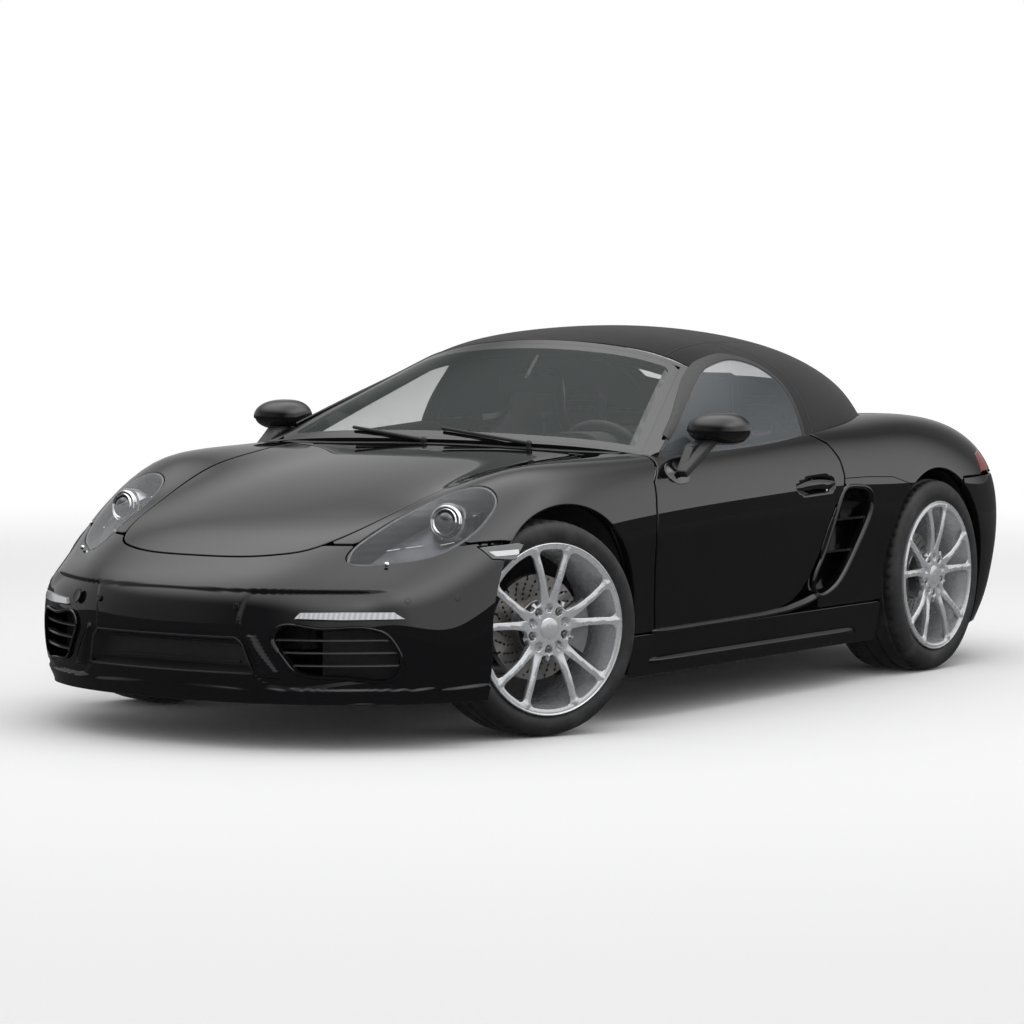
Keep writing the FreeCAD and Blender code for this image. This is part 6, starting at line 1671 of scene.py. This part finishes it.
# ---- door handles ----
# A painted pull bar over an oval finger recess pressed into the door's skin, with the two
# ends of its bearing showing as small bright studs.
GRIP = [(-176, 706), (-240, 724), (-330, 731), (-400, 728), (-470, 712), (-440, 700), (-340, 699), (-240, 696)]
GRIP_RING = rounded(GRIP, 60)
grip_skin = Skin(BODY_RIBS, relief=lambda p: 0.004 * step_up(within(p, SIDE, GRIP_RING), 0.0, 0.014))


def grip_keep(p):
    return least(within(p, SIDE, GRIP_RING), p[:, 1] - 0.7)


for side, place, body in (("left", AS_DRAWN, "door_left"), ("right", MIRRORED, "door_right")):
    pressed("door_grip_" + side, grip_skin, (0.35, 0.62, 0.1, 0.35), 0.006, grip_keep, body, paint, depth=0.010,
            edge=0.0025, place=place)
studs, studs_out = on_skin(body_skin, np.array([(-0.235, 0.684), (-0.415, 0.690)]), SIDE, 1.0)
for number in range(2):
    for side, place, body in (("left", AS_DRAWN, "door_left"), ("right", MIRRORED, "door_right")):
        stud_place = aimed(studs[number] - studs_out[number] * 0.012, studs_out[number])
        if side == "right":
            stud_place = other_side(stud_place)
        lathe(f"grip_stud_{number}_{side}", [(0.0, 0.0004), (0.0, 0.006), (0.004, 0.005), (0.0055, 0.0004)], 24, body,
              chrome, stud_place)

# ---- door mirrors ----
# A domed cap in body colour over a black lower shell, split along a level line, on a stalk
# with two arms that stands in a black foot on the door's shoulder; the glass faces the driver.
MIRROR_AT = np.array([0.330, 0.886, 0.921])
MIRROR_HALF = 0.111
MIRROR_DEPTH = 0.108
MIRROR_UP = 0.060
MIRROR_DOWN = 0.050


def shell_rings(low, high, grow):
    """Half rings of the housing from angle low to high, one for each station across it."""
    rings = []
    for t in np.sin(np.linspace(-0.5, 0.5, 33) * math.pi * 0.998):
        size = (1 - abs(t) ** 2.6) ** 0.5
        a = np.linspace(low, high, 25)
        x = MIRROR_DEPTH * (size ** 0.8) * np.maximum(np.cos(a), 0.0) ** 0.8
        z = np.where(a > 0, MIRROR_UP, MIRROR_DOWN) * size * np.sin(a)
        ring = MIRROR_AT + np.column_stack([x, np.full(25, t * MIRROR_HALF), z])
        rings.append(ring * 1.0 + (ring - MIRROR_AT) * grow)
    return rings


for side, place, body in (("left", AS_DRAWN, "door_left"), ("right", MIRRORED, "door_right")):
    cap = lofted("mirror_cap_" + side, shell_rings(-0.16, math.pi / 2, 0.0), body, paint, closed=False, place=place,
                 flip=True, thick=0.0)
    lofted("mirror_shell_" + side, shell_rings(-math.pi / 2, -0.17, -0.035), body, gloss, closed=False, place=place,
           flip=True)
    seal_rings = shell_rings(-math.pi / 2, math.pi / 2, -0.05)
    glass_edge = np.array([r[0] for r in seal_rings] + [r[-1] for r in reversed(seal_rings)])
    inner_glass = MIRROR_AT + (glass_edge - MIRROR_AT) * 0.93 + (0.004, 0, 0)
    lofted("mirror_back_" + side, [glass_edge, inner_glass - (0.004, 0, 0), inner_glass], body, gloss, place=place)
    lofted("mirror_glass_" + side, [inner_glass + (0.001, 0, 0), inner_glass], body, mirror_silver, floor=True,
           place=place)
    sign = np.array([1.0, 1.0 if side == "left" else -1.0, 1.0])
    for number, (first, last, half) in enumerate((
            ((0.556, 0.866, 0.784), (0.392, 0.884, 0.890), (0.020, 0.013)),
            ((0.545, 0.858, 0.790), (0.455, 0.838, 0.868), (0.016, 0.010)),
            ((0.462, 0.838, 0.864), (0.375, 0.850, 0.890), (0.018, 0.011)))):
        stick(f"mirror_arm_{number}_{side}", [np.array(first) * sign, np.array(last) * sign], half, body, matt, 0.006)
    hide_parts("mirror_" + side)
foot_ring = rounded([(618, 790), (600, 812), (560, 822), (510, 812), (480, 792), (490, 768), (540, 752), (590, 760)], 60)


def foot_keep(p):
    return least(within(p, SIDE, foot_ring), p[:, 1] - 0.7)


foot_skin = Skin(BODY_RIBS, relief=lambda p: 0.0015 + 0.010 * step_up(within(p, SIDE, foot_ring), 0.0, 0.045))
for side, place, body in (("left", AS_DRAWN, "door_left"), ("right", MIRRORED, "door_right")):
    pressed("mirror_foot_" + side, foot_skin, (0.5, 0.8, 0.1, 0.4), 0.008, foot_keep, body, gloss, depth=0.006,
            edge=0.002, place=place)


# ---- seats ----
# One-piece bucket seats: foam pads under black leather for the cushion and for the back with
# its headrest, sewn in panels and swelling between the seams. They are clipped into a moulded
# back shell and a trimmed base that is bolted to the floor.
def hide(tree):
    return {"Base Color": mixed(tree, grain(tree, 30.0), (0.016, 0.016, 0.018), (0.030, 0.030, 0.033)),
            "Roughness": grain(tree, 60.0) * 0.15 + 0.38,
            "Normal": bumped(tree, grain(tree, 420.0, 3.0), 0.25, 0.0006)}


def sewn_hide(tree):
    """Leather with a sunk seam, its groove painted near black as painted shade, and a row of thread each side where the
    told field is zero.
    """
    line = field_of(tree, 0).size()
    sunk = 1.0 - line.rise(0.0010, 0.0045)
    thread = 1.0 - (line - 0.0070).size().rise(0.0005, 0.0015)
    shade = mixed(tree, grain(tree, 30.0), (0.020, 0.020, 0.022), (0.036, 0.036, 0.039))
    # The sunk seam's groove is coloured near black: painted shade in the crease.
    marked = mixed(tree, sunk, mixed(tree, thread, shade, (0.075, 0.075, 0.080)), (0.006, 0.006, 0.006))
    return {"Base Color": marked, "Roughness": grain(tree, 60.0) * 0.15 + 0.40,
            "Normal": bumped(tree, grain(tree, 420.0, 3.0) * 0.25 - sunk * 2.5 + thread * 0.5, 0.5, 0.0008)}


leather = finish("leather_black", hide)
sewn_leather = finish("leather_sewn", sewn_hide)
SEAT_MIDDLE = 0.370
SWELL_FRAMES = 20
SWELL_LIMIT = 0.012
PAD_VOXEL = 0.0175
BACK_RINGS = np.array([
    (0.352, -0.262, 0.150, 0.020, 0.000), (0.358, -0.250, 0.218, 0.040, 0.020), (0.400, -0.242, 0.232, 0.050, 0.042),
    (0.480, -0.254, 0.239, 0.054, 0.062), (0.550, -0.277, 0.240, 0.054, 0.070), (0.625, -0.305, 0.239, 0.052, 0.074),
    (0.700, -0.334, 0.233, 0.050, 0.066), (0.770, -0.364, 0.217, 0.047, 0.044), (0.835, -0.391, 0.187, 0.043, 0.020),
    (0.885, -0.410, 0.152, 0.041, 0.008), (0.930, -0.424, 0.122, 0.040, 0.000), (0.980, -0.436, 0.108, 0.040, 0.000),
    (1.030, -0.444, 0.101, 0.038, 0.000), (1.066, -0.452, 0.088, 0.032, 0.000), (1.084, -0.462, 0.060, 0.020, 0.000),
    (1.088, -0.468, 0.020, 0.008, 0.000)])
CUSHION_RINGS = np.array([
    (-0.330, 0.346, 0.150, 0.020, 0.000), (-0.324, 0.358, 0.216, 0.045, 0.018), (-0.250, 0.368, 0.232, 0.058, 0.042),
    (-0.140, 0.378, 0.237, 0.062, 0.056), (-0.030, 0.386, 0.238, 0.062, 0.052), (0.060, 0.392, 0.236, 0.060, 0.036),
    (0.116, 0.388, 0.230, 0.054, 0.020), (0.146, 0.368, 0.216, 0.040, 0.006), (0.156, 0.344, 0.150, 0.018, 0.000)])


def eased(table, steps):
    """The rows of a table read evenly over its length, their corners eased by a short average."""
    t = np.linspace(0.0, 1.0, steps)
    knots = np.concatenate([[0.0], np.cumsum(np.linalg.norm(np.diff(table[:, :3], axis=0), axis=1))])
    rows = np.stack([np.interp(t, knots / knots[-1], column) for column in table.T], 1)
    for _ in range(4):
        rows[1:-1] = rows[1:-1] * 0.5 + (rows[:-2] + rows[2:]) * 0.25
    return rows


def pad_rings(table, along, out, grow=0.0, count=96, steps=70):
    """Closed rings of a pad. Each row of the table gives a station along one axis, the face's
    height on the other, half a width, half a depth and how far the side bolsters stand proud;
    a ring is a squared-off ellipse whose face is lifted by the bolsters near its sides."""
    a = np.linspace(0.0, 2 * np.pi, count, endpoint=False)
    across = np.sign(np.cos(a)) * np.abs(np.cos(a)) ** 0.6
    depth = np.sign(np.sin(a)) * np.abs(np.sin(a)) ** 0.7
    bolster = step_up(np.abs(across), 0.50, 0.80) * (1 - 0.4 * step_up(np.abs(across), 0.86, 1.0))
    rings = []
    for station, face, half, thick, proud in eased(table, steps):
        ring = np.zeros((count, 3))
        ring[:, along] = station
        ring[:, 1] = SEAT_MIDDLE + across * (half + grow)
        ring[:, out] = face - thick + depth * (thick + grow) + bolster * proud * np.maximum(depth, 0.0) ** 0.5
        rings.append(ring)
    return rings


def swollen(name, rings):
    """A pad from closed rings, blown up as cloth under pressure: remeshed, run for some frames
    with no weight, and no point let further than the limit from where it was."""
    count = len(rings[0])
    points = np.concatenate(rings)
    start = np.arange(count)
    after = (start + 1) % count
    walls = [np.stack([start, after, after + count, start + count], 1) + k * count for k in range(len(rings) - 1)]
    mesh = bpy.data.meshes.new(name)
    caps = [start[::-1].tolist(), (start + (len(rings) - 1) * count).tolist()]
    mesh.from_pydata(points.tolist(), [], np.concatenate(walls).tolist() + caps)
    pad = bpy.data.objects.new(name, mesh)
    bpy.context.scene.collection.objects.link(pad)
    remesh = pad.modifiers.new("remesh", "REMESH")
    remesh.mode = "VOXEL"
    remesh.voxel_size = PAD_VOXEL
    found = bpy.data.meshes.new_from_object(pad.evaluated_get(bpy.context.evaluated_depsgraph_get()))
    pad.modifiers.clear()
    pad.data = found
    before = np.empty(len(found.vertices) * 3)
    found.vertices.foreach_get("co", before)
    before = before.reshape(-1, 3)
    after_points = before
    cloth_of = pad.modifiers.new("cloth", "CLOTH")
    cloth_of.settings.use_pressure = True
    cloth_of.settings.uniform_pressure_force = 4.0
    cloth_of.settings.effector_weights.gravity = 0.0
    for number in range(1, SWELL_FRAMES + 1):
        bpy.context.scene.frame_set(number)
    blown = pad.evaluated_get(bpy.context.evaluated_depsgraph_get()).data
    after_points = np.empty_like(before).ravel()
    blown.vertices.foreach_get("co", after_points)
    after_points = after_points.reshape(-1, 3)
    bpy.context.scene.frame_set(1)
    moved = after_points - before
    length = np.maximum(np.linalg.norm(moved, axis=1, keepdims=True), 1e-9)
    points = before + moved / length * np.minimum(length, SWELL_LIMIT)
    corners = np.empty(len(found.loops), np.int64)
    found.loops.foreach_get("vertex_index", corners)
    totals = np.empty(len(found.polygons), np.int64)
    found.polygons.foreach_get("loop_total", totals)
    starts = np.empty(len(found.polygons), np.int64)
    found.polygons.foreach_get("loop_start", starts)
    faces = [corners[starts[totals == sides][:, None] + np.arange(sides)] for sides in (3, 4) if (totals == sides).any()]
    bpy.data.objects.remove(pad)
    return points, faces


def sunk(points, faces, seam, depth):
    """The points drawn in along their normals where the seam's distance is small."""
    normal = np.zeros_like(points)
    for rows in faces:
        flat = np.cross(points[rows[:, 1]] - points[rows[:, 0]], points[rows[:, 2]] - points[rows[:, 0]])
        for k in range(rows.shape[1]):
            np.add.at(normal, rows[:, k], flat)
    return points - unit(normal) * (depth * (1 - step_up(np.abs(seam(points)), 0.0, 0.022)))[:, None]


def back_seam(p):
    """Between centre panel and bolsters, and across under the shoulders and over the loins."""
    half = np.interp(p[:, 2], BACK_RINGS[:, 0], BACK_RINGS[:, 2]) * 0.56
    side = np.abs(np.abs(p[:, 1] - SEAT_MIDDLE) - np.minimum(half, 0.132))
    across = least(np.abs(p[:, 2] - 0.535), np.abs(p[:, 2] - 0.650), np.abs(p[:, 2] - 0.765))
    inner = np.abs(p[:, 1] - SEAT_MIDDLE) < half
    crown = np.abs(p[:, 2] - 0.925)
    face_line = np.interp(p[:, 2], BACK_RINGS[:, 0], BACK_RINGS[:, 1]) - 0.045
    behind = np.maximum(face_line - p[:, 0], 0.0) * 4.0
    return least(most(side, p[:, 2] - 0.925), np.where(inner, across, 1.0), crown) + behind


def cushion_seam(p):
    side = np.abs(np.abs(p[:, 1] - SEAT_MIDDLE) - 0.132)
    inner = np.abs(p[:, 1] - SEAT_MIDDLE) < 0.132
    across = least(np.abs(p[:, 0] + 0.150), np.abs(p[:, 0] + 0.030), np.abs(p[:, 0] - 0.085))
    below = np.maximum(0.330 - p[:, 2], 0.0) * 4.0
    return least(side, np.where(inner, across, 1.0)) + below


def for_both(name, points, faces, material, seam=None):
    """The left seat's piece and the right one's, its mirror image."""
    made = []
    for side, place in (("left", AS_DRAWN), ("right", MIRRORED)):
        p, f, _ = set_in(place, points, faces, [np.zeros((0, 3))] * len(faces))
        piece = mesh_piece(f"{name}_{side}", p, f, "body", material)
        if seam is not None:
            told(piece, lambda q, turn_over=place[0]: seam(q @ turn_over))
            smooth = piece.modifiers.new("smooth", "SUBSURF")
            smooth.levels = 1
            smooth.render_levels = 1
        made.append(piece)
    return made


for name, rings, seam in (("seat_cushion", pad_rings(CUSHION_RINGS, 0, 2, -0.006), cushion_seam),
                          ("seat_back", pad_rings(BACK_RINGS, 2, 0, -0.006), back_seam)):
    points, faces = swollen(name, rings)
    made = for_both(name, sunk(points, faces, seam, 0.007), faces, sewn_leather, seam)
    for side, piece in zip(("left", "right"), made):
        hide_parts("seat_" + side)

# The shell follows the pad's own stations, a little wider, and runs on down to the base.
shell_table = np.concatenate([[(0.190, -0.262, 0.180, 0.040, 0.0), (0.300, -0.248, 0.214, 0.048, 0.0)],
                              BACK_RINGS[2:-1]])
shell_table[:, 2] += 0.006
a = np.linspace(math.pi, math.pi * 2.0, 49)
shell_across = np.sign(np.cos(a)) * np.abs(np.cos(a)) ** 0.5
shell_deep = np.abs(np.sin(a)) ** 0.6
back_shell = [np.column_stack([face - thick - 0.020 - shell_deep * (thick + 0.004),
                               SEAT_MIDDLE + shell_across * half, np.full(49, station)])
              for station, face, half, thick, proud in eased(shell_table, 70)]
a = np.linspace(0.0, math.pi * 2.0, 72, endpoint=False)
base_ring = np.column_stack([-0.100 + 0.185 * np.sign(np.cos(a)) * np.abs(np.cos(a)) ** 0.35,
                             SEAT_MIDDLE + 0.195 * np.sign(np.sin(a)) * np.abs(np.sin(a)) ** 0.35])
base_middle = base_ring.mean(0)
base_rings = [np.column_stack([base_middle + (base_ring - base_middle) * grow, np.full(72, z)])
              for z, grow in ((0.158, 0.94), (0.172, 1.0), (0.270, 1.02), (0.315, 1.05), (0.330, 1.05))]
for side, place in (("left", AS_DRAWN), ("right", MIRRORED)):
    lofted("seat_shell_" + side, back_shell, "body", gloss, closed=False, place=place, flip=True, thick=0.004)
    lofted("seat_base_" + side, base_rings, "body", matt, place=place)


# ---- door trims ----
# Behind the painted skin each door is a deep pressed box whose ends show when it is open. Its
# inner side is a leather-covered panel with a padded armrest, a pull bar and a bright opener.
TRIM_Y = 742
TRIM_RIBS = [[(x, TRIM_Y, z) for z in range(200, 1500, 200)] + [(x, 0, 1400)] for x in range(-700, 801, 250)]
ARMREST = rounded([(220, 560), (235, 590), (120, 618), (-150, 622), (-330, 612), (-350, 575), (-200, 552),
                   (60, 548)], 60)
POCKET = rounded([(560, 350), (570, 420), (480, 470), (250, 480), (60, 470), (30, 400), (80, 340), (320, 325)], 60)


def trim_relief(p):
    """The armrest stands out of the panel and the map pocket's front bulges."""
    return (0.034 * step_up(within(p, SIDE, ARMREST), -0.012, 0.030)
            + 0.014 * step_up(within(p, SIDE, POCKET), 0.0, 0.040))


trim_skin = Skin(TRIM_RIBS, 1.0, trim_relief)
shoulder_x = np.linspace(-0.55, 0.75, 60)
shoulder, _ = on_skin(body_skin, np.column_stack([shoulder_x, np.full(60, TRIM_Y / 1000.0)]), PLAN, 1.0)


def trim_keep(p):
    return least(door_side(p) - 0.004, np.interp(p[:, 0], shoulder_x, shoulder[:, 2]) - 0.006 - p[:, 2],
                 p[:, 1] - 0.66)


door_path = spaced(np.array([q for q in DOOR[1:-2] if q[1] <= 825], float) / 1000.0, 0.02, False)
path_in = np.array([0.080, 0.560]) + (door_path - (0.080, 0.560)) * 0.994
door_edge, _ = on_skin(body_skin, path_in, SIDE, 1.0)
door_walls = [door_edge - (0, 0.006, 0), np.column_stack([path_in[:, 0], np.full(len(path_in), 0.744), path_in[:, 1]])]
for side, place, body in (("left", AS_DRAWN, "door_left"), ("right", MIRRORED, "door_right")):
    trim = pressed("door_trim_" + side, trim_skin, (0.0, 1.0, 0.0, 0.5), 0.025, trim_keep, body, leather, depth=0.010,
                   place=place)
    lofted("door_wall_" + side, door_walls, body, paint, closed=False, place=place, flip=True, thick=0.003)
    sign = np.array([1.0, 1.0 if side == "left" else -1.0, 1.0])
    ends = np.array([(0.230, 0.716, 0.690), (-0.060, 0.716, 0.668)]) * sign
    stick("door_pull_" + side, [ends[0], ends[1]], (0.011, 0.007), body, matt, 0.004)
    for number in range(2):
        foot = ends[number] + (ends[1 - number] - ends[number]) * 0.03
        stick(f"door_pull_foot_{number}_{side}", [foot, foot + (0, 0.030 * sign[1], 0)], (0.009, 0.009), body, matt, 0.003)
    opener = np.array([(0.330, 0.732, 0.742), (0.250, 0.732, 0.738)]) * sign
    stick("door_opener_" + side, [opener[0], opener[1]], (0.009, 0.005), body, chrome, 0.003)

# ---- rear bumper's openings ----
# A matt tray for the licence plate is let into the painted skin. Under it the two steel tail
# pipes stand side by side in one opening with a gloss lip.
TAIL_SPAN = (0.0, 0.4, 0.0, 1.0)
rear_plate_ring = spaced(np.array(PLATE_REAR, float) / 1000.0, 0.012)
rear_edge, _ = on_skin(body_skin, rear_plate_ring, FRONT, -1.0, TAIL_SPAN)
rear_low, _ = on_skin(body_skin, inset(rear_plate_ring, -0.004), FRONT, -1.0, TAIL_SPAN)
REAR_PLATE_FLOOR = -2.150
rear_inner = inset(rear_plate_ring, 0.008)
rear_floor = inset(rear_plate_ring, 0.014)
lofted("rear_plate_recess",
       [rear_low + (0.006, 0, 0), rear_edge + (0.008, 0, 0), rear_edge + (0.013, 0, 0),
        np.column_stack([np.full(len(rear_inner), REAR_PLATE_FLOOR - 0.006), rear_inner]),
        np.column_stack([np.full(len(rear_floor), REAR_PLATE_FLOOR), rear_floor])],
       "body", matt, floor=True, flip=True, thick=0.003)
pipe_ring = spaced(np.array(PIPE_HOLE, float) / 1000.0, 0.010)
pipe_lip = []
for inward, deep in ((-0.006, 0.006), (-0.003, -0.002), (0.0, -0.003), (0.003, 0.001), (0.004, 0.030)):
    lip_points, _ = on_skin(body_skin, inset(pipe_ring, inward), FRONT, -1.0, TAIL_SPAN)
    pipe_lip.append(lip_points + (deep, 0, 0))
lofted("pipe_surround", pipe_lip, "body", gloss, flip=True, thick=0.002)


def pipe_tip(name, place):
    lathe(name, [(-0.060, 0.0455), (0.000, 0.0460), (0.0025, 0.0450), (0.0030, 0.0430), (0.0015, 0.0415),
                 (-0.060, 0.0412)], 64, "body", chrome, place)


for number, y in enumerate((-0.050, 0.050)):
    pipe_tip(f"pipe_tip_{number}", aimed(np.array([-2.186, y, 0.262]), np.array([-1.0, 0.0, 0.0])))


# ---- finishes of the carried pieces ----
# What comes straight from the frame: moulded trim, the floor, castings, exhaust steel,
# leather, red and clear tail lamps.
def plain_dark(tree):
    return {"Base Color": mixed(tree, grain(tree, 60.0), (0.010, 0.010, 0.010), (0.022, 0.022, 0.022)),
            "Roughness": grain(tree, 90.0) * 0.2 + 0.5}


def casting(tree):
    return {"Base Color": mixed(tree, grain(tree, 40.0), (0.22, 0.22, 0.23), (0.34, 0.34, 0.35)),
            "Roughness": grain(tree, 80.0) * 0.2 + 0.45, "Normal": bumped(tree, grain(tree, 300.0), 0.2, 0.0006)}


def red_lens(tree):
    return {"Base Color": mixed(tree, grain(tree, 9.0), (0.30, 0.006, 0.008), (0.42, 0.010, 0.012)),
            "Roughness": grain(tree, 30.0) * 0.05 + 0.04}


dark = finish("moulded_plastic", plain_dark)
cast = finish("cast_metal", casting, Metallic=0.8)
pipe_steel = finish("pipe_steel", turned_steel, Metallic=1.0)
lamp_red = finish("lamp_red", red_lens, Coat_Weight=1.0, Coat_Roughness=0.02)
by_slot = {"paint": paint, "glass_tint": rear_glass, "lamp_glass": lens_clear, "lamp_red": lamp_red,
           "leather_black": leather, "cast_metal": cast, "steel": pipe_steel, "disc_steel": steel}
by_node = {"headlamps": bowl_grey, "door_glass_left": side_glass, "door_glass_right": side_glass,
           "front_grilles": gloss, "side_intakes": gloss, "radiators": dark, "running_lamps": frosted,
           "windscreen_frame": paint}
for name, piece in nodes.items():
    if piece.hide_render:
        continue
    slot_name = piece.data.materials[0].name.split(".")[0]
    piece.data.materials[0] = by_node.get(name, by_slot.get(slot_name, dark))
